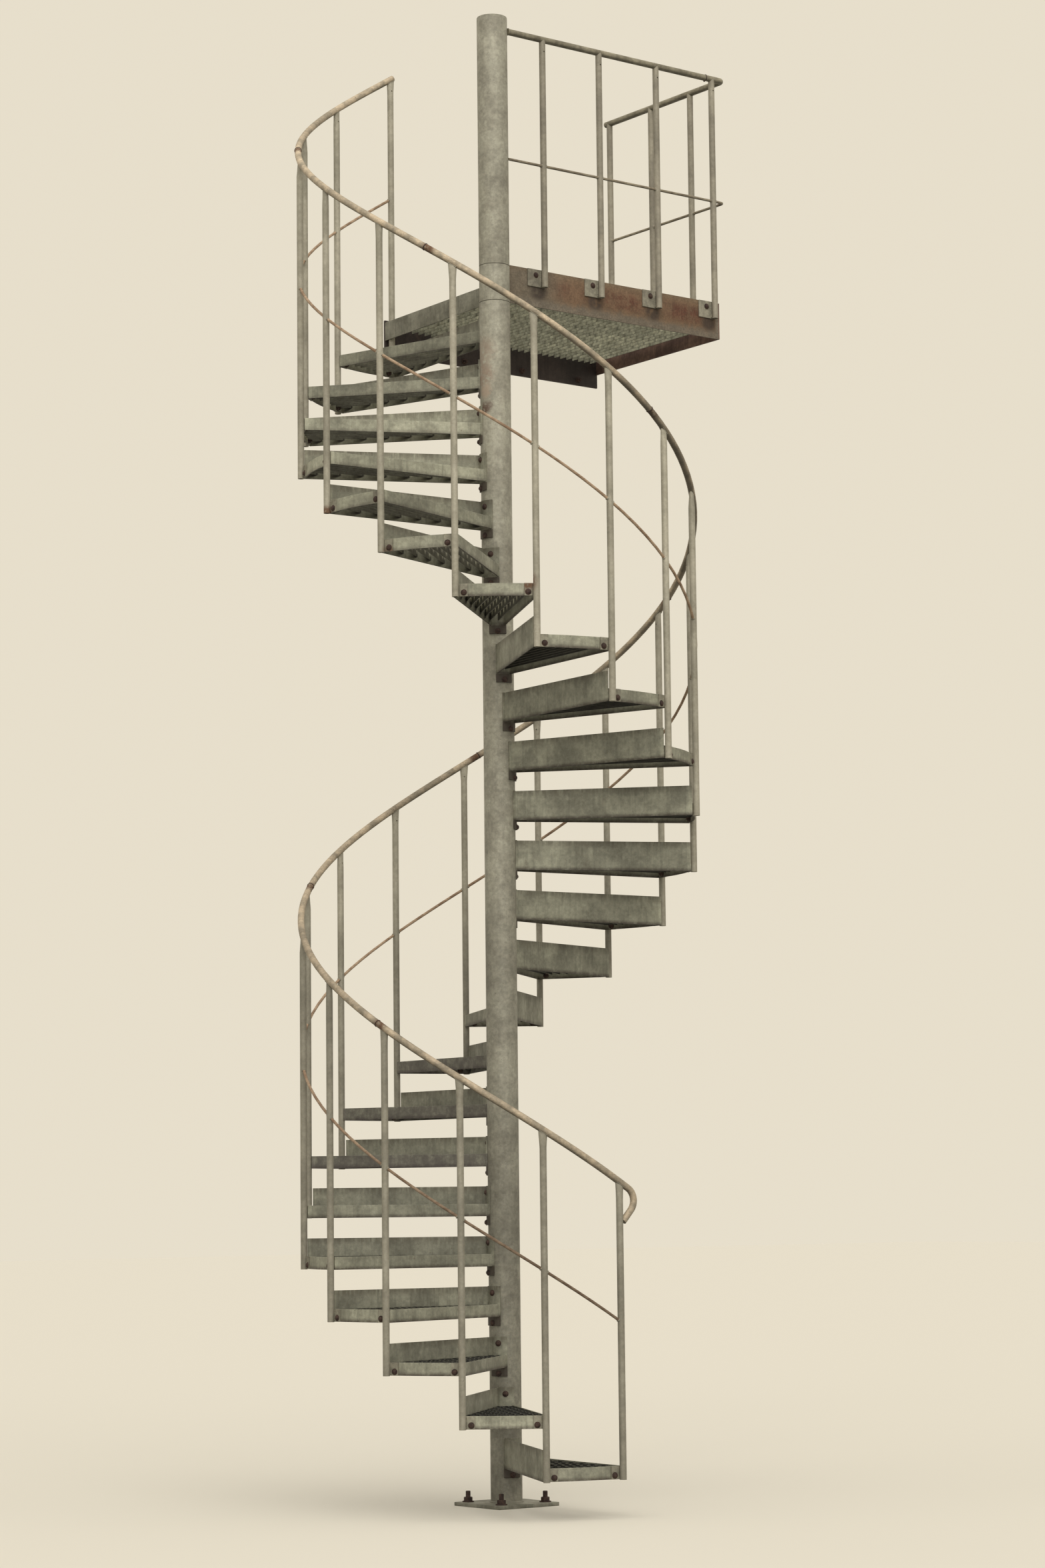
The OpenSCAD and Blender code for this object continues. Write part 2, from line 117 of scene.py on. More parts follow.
def direction_of(bearing, elevation):
    """Direction at a bearing, counted clockwise from +Y, and an elevation, both in degrees."""
    side, height = math.radians(bearing), math.radians(elevation)
    return Vector((math.sin(side) * math.cos(height), math.cos(side) * math.cos(height), math.sin(height)))


forward = direction_of(CAMERA_YAW, CAMERA_PITCH)
level_right = direction_of(CAMERA_YAW + 90, 0)
level_up = level_right.cross(forward)
right = level_right * math.cos(CAMERA_ROLL) + level_up * math.sin(CAMERA_ROLL)
up = right.cross(forward)

lens = bpy.data.cameras.new("photo_camera")
lens.lens = LENS_MM
lens.sensor_width = SENSOR_MM
lens.clip_end = FAR_LIMIT
camera = bpy.data.objects.new("photo_camera", lens)
camera.matrix_world = Matrix((right, up, -forward)).transposed().to_4x4()
camera.location = CAMERA_PLACE
bpy.context.scene.collection.objects.link(camera)
bpy.context.scene.camera = camera
bpy.context.scene.view_settings.view_transform = "Standard"
print("camera looks along", [round(value, 3) for value in forward])

# %% [markdown]
# ## Node helpers
# Weathered zinc is built from the same few nodes again and again: noise for clouds and dirt, a Voronoi
# pattern for the crystals of the zinc, and mixes between them. In the editor each one is placed and wired
# by hand. Here a short helper adds a node, fills its inputs by name or number, and links those that come
# from another node, so a finish reads as a list of what lies on the steel.

# %% Helpers that add nodes
def add_node(tree, kind, inputs=None, **settings):
    """Add a node, give its inputs a value or a link, and return it."""
    node = tree.nodes.new(kind)
    for name, value in settings.items():
        setattr(node, name, value)
    for key, value in (inputs or {}).items():
        if isinstance(value, bpy.types.NodeSocket):
            tree.links.new(value, node.inputs[key])
        else:
            node.inputs[key].default_value = value
    return node


def rgb(red, green, blue):
    """Colour with the fourth number, alpha, that Blender wants."""
    return (red, green, blue, 1.0)


def new_finish(name, gloss=0.35):
    """New material: returns it with its node tree and its shader."""
    finish = bpy.data.materials.new(name)
    finish.use_nodes = True
    shader = finish.node_tree.nodes["Principled BSDF"]
    shader.inputs["Specular IOR Level"].default_value = gloss
    return finish, finish.node_tree, shader


print("a middle grey, as Blender wants it:", rgb(0.5, 0.5, 0.5))

# %% Helpers that reckon with sockets
def combined(tree, kind, a, b=0.0):
    """Result of one step of arithmetic."""
    return add_node(tree, "ShaderNodeMath", {0: a, 1: b}, operation=kind).outputs[0]


def times(tree, first, *others):
    """Product of sockets and numbers."""
    for other in others:
        first = combined(tree, "MULTIPLY", first, other)
    return first


def spread(tree, value, low, high, to_low=0.0, to_high=1.0):
    """Map the part of a pattern between low and high onto to_low and to_high, softly."""
    return add_node(tree, "ShaderNodeMapRange", {0: value, 1: low, 2: high, 3: to_low, 4: to_high},
                    interpolation_type="SMOOTHSTEP").outputs[0]


def mixed(tree, amount, under, over, blend="MIX"):
    """Lay one colour over another."""
    return add_node(tree, "ShaderNodeMix", {0: amount, 6: under, 7: over},
                    data_type="RGBA", blend_type=blend).outputs[2]


def shaded(tree, tone, factor):
    """Make a tone darker where the factor is below 1 and brighter where it is above 1."""
    return mixed(tree, 1.0, tone, factor, "MULTIPLY")


print("helpers:", [helper.__name__ for helper in (combined, times, spread, mixed, shaded)])

# %% Helpers for patterns and places
def object_place(tree):
    """Coordinates of a point on the stair, in metres."""
    return add_node(tree, "ShaderNodeTexCoord").outputs["Object"]


def stretched(tree, place, scale, offset=(0, 0, 0)):
    """Coordinates stretched along the axes, for runs and grain."""
    return add_node(tree, "ShaderNodeMapping", {
        "Vector": place, "Scale": scale, "Location": offset}).outputs[0]


def noise(tree, place, scale, detail=4.0, roughness=0.55):
    """Cloudy pattern between 0 and 1."""
    return add_node(tree, "ShaderNodeTexNoise", {
        "Vector": place, "Scale": scale, "Detail": detail, "Roughness": roughness}).outputs[0]


def height_of(tree, place):
    """Third number of a place or a direction."""
    return add_node(tree, "ShaderNodeSeparateXYZ", {0: place}).outputs[2]


def distance(tree, place, point):
    """Distance in metres between a place and a point."""
    return add_node(tree, "ShaderNodeVectorMath", {0: place, 1: point}, operation="DISTANCE").outputs["Value"]


def near_point(tree, place, point, reach):
    """Socket that is 1 at a point and falls to 0 at a distance."""
    return spread(tree, distance(tree, place, point), reach, reach * 0.35)


def within(tree, value, middle, reach):
    """Socket that is 1 where a value is at its middle and falls to 0 at a distance from it."""
    off_middle = combined(tree, "ABSOLUTE", combined(tree, "SUBTRACT", value, middle))
    return spread(tree, off_middle, reach, reach * 0.2)


def facing_down(tree):
    """Socket that is 1 on faces that look down."""
    normal = add_node(tree, "ShaderNodeNewGeometry").outputs["Normal"]
    return spread(tree, height_of(tree, normal), -0.2, -0.8)


def map_numbers(tree, name):
    """The numbers that a UV map holds at a point."""
    uv = add_node(tree, "ShaderNodeUVMap", uv_map=name).outputs[0]
    return add_node(tree, "ShaderNodeSeparateXYZ", {0: uv}).outputs


print("helpers:", [helper.__name__ for helper in (noise, near_point, within, facing_down)])

# %% [markdown]
# ## Light
# The photograph has the flat light of an overcast day: bright from above, a little from the front, dark
# under the treads. Area lamps would fall off over the six metres of height, so two very soft suns are
# used. Their strengths are low enough that a colour renders about as it is written.

# %% Lamps
def soft_sun(name, strength, softness, bearing, elevation):
    """Sun lamp that shines from a bearing and an elevation. Softness is its width in degrees."""
    lamp = bpy.data.lights.new(name, "SUN")
    lamp.energy = strength
    lamp.angle = math.radians(softness)
    sun = bpy.data.objects.new(name, lamp)
    sun.rotation_euler = direction_of(bearing, elevation).to_track_quat("Z", "Y").to_euler()
    bpy.context.scene.collection.objects.link(sun)
    print(name, "strength", strength, "from", elevation, "degrees up")


soft_sun("sky_light", strength=1.5, softness=75, bearing=214, elevation=66)
soft_sun("front_light", strength=1.15, softness=60, bearing=208, elevation=20)

# %% [markdown]
# ## Background and floor
# A quiet world fills in the shadows. The camera sees a pale background instead of that world, through
# the Light Path node, and mirrors and glass see what the camera sees. A bigger lamp would make the
# background just as pale, but it would bleach the steel too. The floor is pale for the camera, reflects
# little light upwards and has no gloss, so its far edge melts into the background.

# %% World
BACKDROP = rgb(0.80, 0.735, 0.60)
SKY_TONE = rgb(1.0, 0.985, 0.95)
SKY_STRENGTH = 0.5


def seen_rays(tree):
    """Socket that is 1 for rays that come from the camera, from a mirror or through glass."""
    path = add_node(tree, "ShaderNodeLightPath")
    seen = path.outputs["Is Camera Ray"]
    for kind in ("Is Glossy Ray", "Is Transmission Ray"):
        seen = combined(tree, "MAXIMUM", seen, path.outputs[kind])
    return seen


world = bpy.data.worlds.new("studio")
bpy.context.scene.world = world
world.use_nodes = True
tree = world.node_tree
quiet = tree.nodes["Background"]
quiet.inputs["Color"].default_value = SKY_TONE
quiet.inputs["Strength"].default_value = SKY_STRENGTH
pale = add_node(tree, "ShaderNodeBackground", {"Color": BACKDROP, "Strength": 1.0})
choice = add_node(tree, "ShaderNodeMixShader", {0: seen_rays(tree), 1: quiet.outputs[0], 2: pale.outputs[0]})
tree.links.new(choice.outputs[0], tree.nodes["World Output"].inputs[0])
print("background colour:", BACKDROP[:3])

# %% Floor
FLOOR_HALF = 60
FLOOR_TONE = rgb(0.34, 0.34, 0.31)
FLOOR_SEEN = [value * 0.945 for value in BACKDROP]

floor_finish, tree, shader = new_finish("studio_floor", gloss=0.0)
tree.links.new(mixed(tree, seen_rays(tree), FLOOR_TONE, FLOOR_SEEN), shader.inputs["Base Color"])
shader.inputs["Roughness"].default_value = 1.0

floor_shape = bmesh.new()
bmesh.ops.create_grid(floor_shape, x_segments=1, y_segments=1, size=FLOOR_HALF)
floor_mesh = bpy.data.meshes.new("floor")
floor_shape.to_mesh(floor_mesh)
floor_shape.free()
floor_mesh.materials.append(floor_finish)
floor = bpy.data.objects.new("floor", floor_mesh)
bpy.context.scene.collection.objects.link(floor)
print("floor is", 2 * FLOOR_HALF, "m wide")

# %% [markdown]
# ## Weathered zinc
# Hot-dip galvanised steel is a clouded grey with faint crystal flakes a centimetre or two wide. Rain
# leaves runs down it, grime lies in patches, and after some years tiny brown specks appear. Faces that
# look down are darkened as painted shade. A photograph could be wrapped on, but a recipe of noise
# patterns works from every side and at every distance, so one function mixes all the zinc finishes, and
# each finish only changes its tones and amounts.

# %% What lies on zinc
SPECK_BROWN = rgb(0.10, 0.055, 0.03)
RUST_BROWN = rgb(0.155, 0.085, 0.047)
# Painted shade for faces that look down.
UNDERSIDE_SHADE = rgb(0.040, 0.036, 0.028)
RUN_DARKENS = (0.5, 0.5, 0.5)
GRIME_DARKENS = (0.66, 0.56, 0.46)
FLAKE_SCALE = 95.0


def toned(colour, factors):
    """Colour with its red, green and blue multiplied."""
    return rgb(*[value * factor for value, factor in zip(colour, factors)])


def clouded(tree, place, clouds, mottling, pale, deep, mottle):
    """Two greys in clouds, with crystal flakes, mottling and a slow change from place to place."""
    tone = mixed(tree, spread(tree, clouds, 0.34, 0.66), rgb(*deep), rgb(*pale))
    flakes = add_node(tree, "ShaderNodeTexVoronoi", {"Vector": place, "Scale": FLAKE_SCALE}).outputs["Color"]
    flake = add_node(tree, "ShaderNodeSeparateColor", {0: flakes}).outputs[0]
    tone = shaded(tree, tone, spread(tree, flake, 0.0, 1.0, 1 - mottle * 0.5, 1 + mottle * 0.5))
    tone = shaded(tree, tone, spread(tree, mottling, 0.36, 0.64, 1 - mottle, 1 + mottle))
    slow = noise(tree, place, scale=1.3, detail=2)
    return shaded(tree, tone, spread(tree, slow, 0.35, 0.65, 0.88, 1.1))


def dirtied(tree, place, tone, deep, runs, grime, specks):
    """Rain runs, patches of grime and tiny brown specks."""
    run = noise(tree, stretched(tree, place, (75, 75, 5)), scale=1.0, detail=6, roughness=0.65)
    tone = mixed(tree, times(tree, spread(tree, run, 0.48, 0.70), runs), tone, toned(deep, RUN_DARKENS))
    patch = noise(tree, place, scale=17.0, detail=9, roughness=0.75)
    tone = mixed(tree, times(tree, spread(tree, patch, 0.5, 0.70), grime), tone, toned(deep, GRIME_DARKENS))
    speck = noise(tree, place, scale=210.0, detail=2, roughness=0.5)
    return mixed(tree, times(tree, spread(tree, speck, 0.66, 0.74), specks), tone, SPECK_BROWN)


def rusted_share(tree, place, mottling, rust, spots):
    """Socket that is 1 where rust covers the zinc: in stray patches and at given spots."""
    stray = noise(tree, stretched(tree, place, (1, 1, 0.6), (3, 5, 1)), scale=9.0, detail=8, roughness=0.7)
    share = times(tree, spread(tree, stray, 0.60, 0.76), rust)
    for point, reach in spots:
        spot = times(tree, near_point(tree, place, point, reach), spread(tree, mottling, 0.34, 0.52))
        share = combined(tree, "MAXIMUM", share, spot)
    return share


print("crystal flakes are about", round(1000 / FLAKE_SCALE), "mm wide")

# %% A recipe for weathered zinc
ZINC_ROUGHNESS = 0.6
ZINC_METAL = 0.15


def zinc_surface(tree, shader, place, clouds, mottling, rusted):
    """Shine and grain of the zinc. Where it rusts it is rougher and less metallic."""
    dull = spread(tree, clouds, 0.3, 0.7, ZINC_ROUGHNESS + 0.1, ZINC_ROUGHNESS - 0.06)
    rougher = combined(tree, "ADD", dull, times(tree, rusted, 0.3))
    tree.links.new(rougher, shader.inputs["Roughness"])
    tree.links.new(spread(tree, rusted, 0.0, 0.6, ZINC_METAL, 0.0), shader.inputs["Metallic"])
    grain = noise(tree, place, scale=320.0, detail=3, roughness=0.6)
    grain_bump = add_node(tree, "ShaderNodeBump", {"Strength": 0.25, "Distance": 0.0006, "Height": grain})
    cloud_bump = add_node(tree, "ShaderNodeBump", {
        "Strength": 0.3, "Distance": 0.0015, "Height": mottling, "Normal": grain_bump.outputs[0]})
    tree.links.new(cloud_bump.outputs[0], shader.inputs["Normal"])


def zinc(name, pale, deep, cloud=4.0, mottle=0.12, runs=0.35, grime=0.15, specks=0.5, rust=0.0, under=0.6,
         spots=(), marks=None):
    """Material with two grey tones, weather marks and painted shade on faces that look down."""
    finish, tree, shader = new_finish(name)
    place = object_place(tree)
    clouds = noise(tree, place, cloud, detail=7, roughness=0.62)
    mottling = noise(tree, place, scale=48.0, detail=7, roughness=0.74)
    tone = clouded(tree, place, clouds, mottling, pale, deep, mottle)
    tone = dirtied(tree, place, tone, deep, runs, grime, specks)
    rusted = rusted_share(tree, place, mottling, rust, spots)
    tone = mixed(tree, rusted, tone, RUST_BROWN)
    if marks:
        tone = marks(tree, place, tone)
    # Painted shade on faces that look down, as strong as under says.
    tone = mixed(tree, times(tree, facing_down(tree), under), tone, UNDERSIDE_SHADE)
    tree.links.new(tone, shader.inputs["Base Color"])
    zinc_surface(tree, shader, place, clouds, mottling, rusted)
    print(name, "has", len(tree.nodes), "nodes")
    return finish


print("zinc is", ZINC_ROUGHNESS, "rough and", ZINC_METAL, "metallic")

# %% [markdown]
# ## Dirt and painted shade on the treads
# Weather isn't spread evenly, and the painted shade isn't either. A tread has painted shade along the
# lower edges of its outer faces and on the inner face below the grating, streaks of dirt on the top of its
# rear plate, painted shade and dirt beside its saddle, and painted shadows where the ends of the grating's
# bars meet the inner face; three low treads have painted shade on their front plates. It could be painted
# on every tread, but treads repeat every 200 mm, so a height that starts again at each of them finds the
# same edge on all 24. Each kind of dirt and painted shade is a short function of its own.

# %% Where a point lies on a tread
TREAD_LOW = 0.052


def tread_share(tree, place):
    """Height above the lower edges of a tread's plates, as a share of the way to the next tread."""
    above = combined(tree, "SUBTRACT", height_of(tree, place), LANDING_Z - TREAD_LOW)
    return combined(tree, "FRACT", combined(tree, "DIVIDE", above, RISE))


def tread_spot(tree, place):
    """Sockets that say where on a tread a point lies, and two patterns that break up dirt and painted shade.
    """
    bars_ended, inner_face = map_numbers(tree, "bar_ends")[:2]
    return {
        "share": tread_share(tree, place),
        "height": height_of(tree, place),
        "radius": distance(tree, stretched(tree, place, (1, 1, 0)), (0, 0, 0)),
        "bars_ended": bars_ended,
        "inner_face": inner_face,
        "outer_face": combined(tree, "SUBTRACT", 1.0, inner_face),
        "ragged": noise(tree, place, scale=34.0, detail=6, roughness=0.7),
        "streaks": noise(tree, stretched(tree, place, (55, 55, 7)), scale=1.0, detail=5, roughness=0.65),
    }


def by_height(tree, place, *bands):
    """Factor that goes from one amount to another across each band of height, given in metres."""
    height = height_of(tree, place)
    return times(tree, *[spread(tree, height, *band) for band in bands])


print("a tread reaches", round(TREAD_LOW * 1000), "mm below its walking surface")

# %% Kinds of dirt and painted shade on a tread
# The dark brown is painted shade, on the saddles with dirt, the purple grey is painted shade on low front
# plates, the streak colour is dirt, and the near black is painted shadow at the bars' ends.
SHADE_BROWN = rgb(0.042, 0.030, 0.022)
LOW_FRONT_SHADE = rgb(0.070, 0.058, 0.052)
STREAK_DIRT = rgb(0.085, 0.070, 0.046)
BAR_END_SHADOW = rgb(0.014, 0.010, 0.008)


def shaded_lower_edge(tree, spot, tone):
    """Painted shade along the lower edges of the outer faces, fainter high up."""
    amount = times(tree, spread(tree, spot["share"], 0.105, 0.010),
                   spread(tree, spot["ragged"], 0.3, 0.55, 0.45, 1.0), spot["outer_face"],
                   spread(tree, spot["height"], 3.50, 3.75, 0.85, 0.45))
    return mixed(tree, amount, tone, SHADE_BROWN)


def shaded_low_fronts(tree, spot, tone):
    """Painted shade on the front plates of three low treads."""
    amount = times(tree, spread(tree, spot["height"], 1.90, 1.94, 1.0, 0.0),
                   spread(tree, spot["height"], 1.29, 1.33), spot["outer_face"],
                   spread(tree, spot["share"], 0.285, 0.255),
                   spread(tree, spot["ragged"], 0.30, 0.60, 0.35, 0.75))
    return mixed(tree, amount, tone, LOW_FRONT_SHADE)


def streaked_top(tree, spot, tone):
    """Streaks that run down from the top edge of the rear plate."""
    amount = times(tree, spread(tree, spot["share"], 0.42, 0.60),
                   spread(tree, spot["streaks"], 0.36, 0.58, 0.25, 1.0), 0.6)
    return mixed(tree, amount, tone, STREAK_DIRT)


def shaded_inside(tree, spot, tone):
    """Painted shade on the inner face of the rear plate below the grating, deeper on the lower treads."""
    amount = times(tree, spot["inner_face"], spread(tree, spot["share"], 0.27, 0.23))
    return mixed(tree, amount, tone, shaded(tree, tone, spread(tree, spot["height"], 3.35, 3.62, 0.36, 0.95)))


def bar_end_shadows(tree, spot, tone):
    """Painted shadow to one side of the end of every bar, fainter below the bars."""
    below_bars = spread(tree, spot["share"], 0.105, 0.02)
    past_end = combined(tree, "SUBTRACT", combined(tree, "FRACT", spot["bars_ended"]),
                        times(tree, below_bars, 0.3))
    amount = times(tree, spread(tree, past_end, -0.03, 0.08), spread(tree, past_end, 0.66, 0.12),
                   spot["inner_face"], spread(tree, spot["share"], 0.20, 0.14),
                   spread(tree, below_bars, 0.0, 1.0, 0.95, 0.35))
    return mixed(tree, amount, tone, BAR_END_SHADOW)


def saddle_shade_and_dirt(tree, spot, tone):
    """Painted shade and dirt on the upper end of the saddle, close to the column."""
    amount = times(tree, spread(tree, spot["radius"], 0.092, 0.076),
                   spread(tree, spot["share"], 0.78, 0.84), 0.85)
    return mixed(tree, amount, tone, SHADE_BROWN)


# The darkest of these colours is the painted shadow at the ends of the bars.
print("darkest dirt:", BAR_END_SHADOW[:3])

# %% All the dirt and painted shade on a tread
def tread_marks(tree, place, tone):
    """Lay all the dirt and painted shade on a tread. Middle treads and outer end plates are brighter."""
    spot = tread_spot(tree, place)
    for dirt in (shaded_lower_edge, shaded_low_fronts, streaked_top, shaded_inside, bar_end_shadows, saddle_shade_and_dirt):
        tone = dirt(tree, spot, tone)
    brightness = by_height(tree, place, (3.62, 3.85, 1.0, 1.14), (4.08, 4.14, 1.0, 1.24), (4.45, 4.62, 1.0, 0.70))
    return shaded(tree, tone, times(tree, brightness, spread(tree, spot["radius"], 0.779, 0.785, 1.0, 1.25)))


print("a tread repeats every", RISE, "m")

# %% [markdown]
# ## Marks on the column, tubes and rails
# The column, tubes and rods are darkest near their feet; on the column this is painted shade. The column
# also has a few brown stains below the landing, and the handrail has painted shade on the stretch halfway
# up that faces away from the light. Points in metres say where each stain and that shade lie, and noise
# makes the outline of a stain ragged.

# %% Marks on the column, tubes and rails
# Painted shade on the stretch of the handrail that faces away from the light.
RAIL_SHADE = rgb(0.07, 0.055, 0.037)
# Each stain has a point and a reach, in metres, an amount and a colour.
COLUMN_STAINS = (((-0.0630, 0.002, 4.700), 0.080, 0.5, rgb(0.29, 0.200, 0.140)),
                 ((-0.0630, 0.000, 4.600), 0.070, 0.7, rgb(0.27, 0.180, 0.125)),
                 ((-0.0625, -0.012, 4.530), 0.042, 0.8, rgb(0.38, 0.285, 0.20)),
                 ((-0.0628, -0.009, 4.458), 0.038, 0.95, rgb(0.105, 0.060, 0.038)),
                 ((-0.0560, -0.030, 4.470), 0.026, 0.7, rgb(0.15, 0.105, 0.078)))


def column_marks(tree, place, tone):
    """Painted shade towards the foot, and a few brown stains on the left below the landing."""
    ragged = spread(tree, noise(tree, place, scale=60.0, detail=7, roughness=0.7), 0.36, 0.52)
    for point, reach, amount, colour in COLUMN_STAINS:
        stain = times(tree, near_point(tree, place, point, reach), ragged)
        tone = mixed(tree, times(tree, stain, amount), tone, colour)
    return shaded(tree, tone, by_height(tree, place, (0.6, 4.7, 0.70, 1.0)))


def tube_marks(tree, place, tone):
    """Darker on the lowest balusters."""
    return shaded(tree, tone, by_height(tree, place, (1.9, 2.9, 0.72, 1.0)))


def rod_marks(tree, place, tone):
    """Much darker near the foot of the stair."""
    return shaded(tree, tone, by_height(tree, place, (0.9, 1.9, 0.45, 1.0)))


def rail_marks(tree, place, tone):
    """Painted shade halfway up on the far side, away from the light, and a little darker low down."""
    turned_away_shade = near_point(tree, place, on_coil(9.6, HANDRAIL_H), 0.85)
    tone = mixed(tree, times(tree, turned_away_shade, 0.5), tone, RAIL_SHADE)
    return shaded(tree, tone, by_height(tree, place, (2.6, 3.6, 0.80, 1.0)))


print("stains on the column:", len(COLUMN_STAINS))

# %% [markdown]
# ## Marks on the grating
# Seen from below, a grating is a row of dark cells with a bright glint high up in each. The glints are
# painted highlights midway between two rods, and the bars get painted shade lower down. On the landing a
# bar is darker where a rod crosses it: zinc and dirt gather there, and a painted shadow of the rod lies
# there too. Every corner of a bar carries, in a UV map, how many rods lie before it, so the material knows
# how far the next rod is.

# %% Marks on the grating
AT_ROD = 0.68
OFF_ROD = 1.04


def off_rods(tree):
    """Socket that is 0 at every rod of a grating and 0.5 midway between two rods."""
    return combined(tree, "PINGPONG", map_numbers(tree, "rod_count")[0], 0.5)


def cell_marks(tree, place, tone):
    """Painted shade along the bars' lower parts, and a painted highlight high up, midway between two rods."""
    share, height = tread_share(tree, place), height_of(tree, place)
    glint = times(tree, spread(tree, share, 0.12, 0.21), spread(tree, off_rods(tree), 0.24, 0.50))
    darkest = spread(tree, height, 3.61, 3.66, 0.32, 0.66)
    brightest = spread(tree, height, 3.61, 3.66, 3.1, 2.2)
    # From the eighth tread down the gratings get deeper painted shade, and the top one is made brighter.
    # Faces that look down keep at least 0.6 of their tone.
    factor = times(tree, spread(tree, glint, 0.0, 1.0, darkest, brightest),
                   spread(tree, height, 3.42, 3.52, 0.3, 1.0), spread(tree, height, 4.62, 4.72, 1.0, 1.4))
    return shaded(tree, tone, combined(tree, "MAXIMUM", factor, times(tree, facing_down(tree), 0.6)))


def deck_marks(tree, place, tone):
    """Darker where a rod crosses a bar: zinc and dirt gather there, and a painted shadow of the rod."""
    return shaded(tree, tone, spread(tree, off_rods(tree), 0.04, 0.14, AT_ROD, OFF_ROD))


print("a bar is", AT_ROD, "as bright where a rod crosses it")

# %% [markdown]
# ## Zinc finishes
# The same zinc looks different on each part: pale on the tubes, warm and worn where hands hold the rail,
# dull on the plates, nearly black on the plate behind the landing. Each finish is one line: two tones of
# grey, then only what differs from the recipe. The rail and a few tubes also rust at their welds.

# %% Where tubes and rails rust
RAIL_JOINTS = (5.65, 11.75, 17.85)
BUTT_WELDS = (2.6, 8.7, 14.8, 20.9)
STAINED_RAIL = tuple((on_coil(joint + 0.05, HANDRAIL_H), 0.042) for joint in RAIL_JOINTS + BUTT_WELDS)
STAINED_TUBES = ((on_coil(6.88, -0.020), 0.055), (on_coil(4, -0.245), 0.035), (on_coil(5.1, -0.225), 0.03))
print("stained spots:", len(STAINED_RAIL) + len(STAINED_TUBES))

# %% Finishes of the plates, tubes and rails
column_zinc = zinc("column_zinc", pale=(0.365, 0.34, 0.255), deep=(0.255, 0.233, 0.174), cloud=9.0,
                   mottle=0.13, runs=0.2, grime=0.12, marks=column_marks)
tread_zinc = zinc("tread_zinc", pale=(0.30, 0.288, 0.208), deep=(0.185, 0.176, 0.127), cloud=8.0,
                  rust=0.2, under=0.9, marks=tread_marks)
plate_zinc = zinc("plate_zinc", pale=(0.27, 0.255, 0.19), deep=(0.15, 0.14, 0.10), cloud=8.0, runs=0.4,
                  rust=0.35)
grating_zinc = zinc("grating_zinc", pale=(0.24, 0.228, 0.165), deep=(0.14, 0.13, 0.095), cloud=9.0,
                    under=0.3, marks=cell_marks)
deck_zinc = zinc("deck_zinc", pale=(0.58, 0.56, 0.41), deep=(0.34, 0.33, 0.24), cloud=20.0, mottle=0.2,
                 grime=0.35, under=0.85, marks=deck_marks)
tube_zinc = zinc("tube_zinc", pale=(0.425, 0.385, 0.288), deep=(0.32, 0.288, 0.212), cloud=7.0, mottle=0.08,
                 runs=0.12, grime=0.12, specks=0.35, spots=STAINED_TUBES, marks=tube_marks)
tab_zinc = zinc("tab_zinc", pale=(0.32, 0.295, 0.215), deep=(0.20, 0.18, 0.13), cloud=15.0, runs=0.3,
                rust=0.3, spots=STAINED_TUBES)
post_zinc = zinc("post_zinc", pale=(0.355, 0.315, 0.232), deep=(0.255, 0.225, 0.168), cloud=7.0,
                 mottle=0.08, runs=0.12, grime=0.12, specks=0.35)
bracket_zinc = zinc("bracket_zinc", pale=(0.33, 0.30, 0.22), deep=(0.21, 0.188, 0.138), cloud=12.0,
                    runs=0.3, rust=0.2)
rod_zinc = zinc("rod_zinc", pale=(0.36, 0.305, 0.21), deep=(0.22, 0.175, 0.12), cloud=20.0, runs=0.1,
                rust=0.5)
rail_zinc = zinc("rail_zinc", pale=(0.60, 0.475, 0.318), deep=(0.33, 0.275, 0.192), cloud=16.0, runs=0.1,
                 specks=0.9, rust=0.5, spots=STAINED_RAIL, marks=rail_marks)
guard_rail_zinc = zinc("guard_rail_zinc", pale=(0.29, 0.255, 0.175), deep=(0.18, 0.155, 0.105), cloud=12.0,
                       runs=0.1, rust=0.4)
side_zinc = zinc("side_zinc", pale=(0.25, 0.155, 0.115), deep=(0.12, 0.072, 0.056), cloud=6.0, runs=0.5,
                 rust=0.7, under=0.7)
dark_zinc = zinc("dark_zinc", pale=(0.050, 0.036, 0.030), deep=(0.024, 0.018, 0.015), runs=0.5, rust=0.3,
                 under=0.4)

# %% [markdown]
# ## Rust
# Two parts are more rust than zinc: the thin rods, which have an even orange-brown skin, and the bolts,
# which are dark red-brown. They could share the zinc recipe with a lot of rust, but a separate recipe of
# two browns with dark pits keeps them simple and looks drier, because rust reflects little.

# %% A recipe for rust
RUST_ROUGHNESS = 0.85
PIT_DARKENS = (0.4, 0.4, 0.4)


def rusty(name, light, dark, scale, marks=None):
    """Material of two browns with dark pits."""
    finish, tree, shader = new_finish(name, gloss=0.3)
    place = object_place(tree)
    patches = noise(tree, place, scale, detail=8, roughness=0.68)
    tone = mixed(tree, spread(tree, patches, 0.36, 0.62), rgb(*dark), rgb(*light))
    pits = noise(tree, place, scale * 9, detail=3, roughness=0.6)
    tone = mixed(tree, spread(tree, pits, 0.58, 0.70, 0.0, 0.6), tone, toned(dark, PIT_DARKENS))
    if marks:
        tone = marks(tree, place, tone)
    tree.links.new(tone, shader.inputs["Base Color"])
    dull = spread(tree, patches, 0.3, 0.7, RUST_ROUGHNESS, RUST_ROUGHNESS - 0.12)
    tree.links.new(dull, shader.inputs["Roughness"])
    bump = add_node(tree, "ShaderNodeBump", {"Strength": 0.6, "Distance": 0.0008, "Height": pits})
    tree.links.new(bump.outputs[0], shader.inputs["Normal"])
    print(name, "has", len(tree.nodes), "nodes")
    return finish


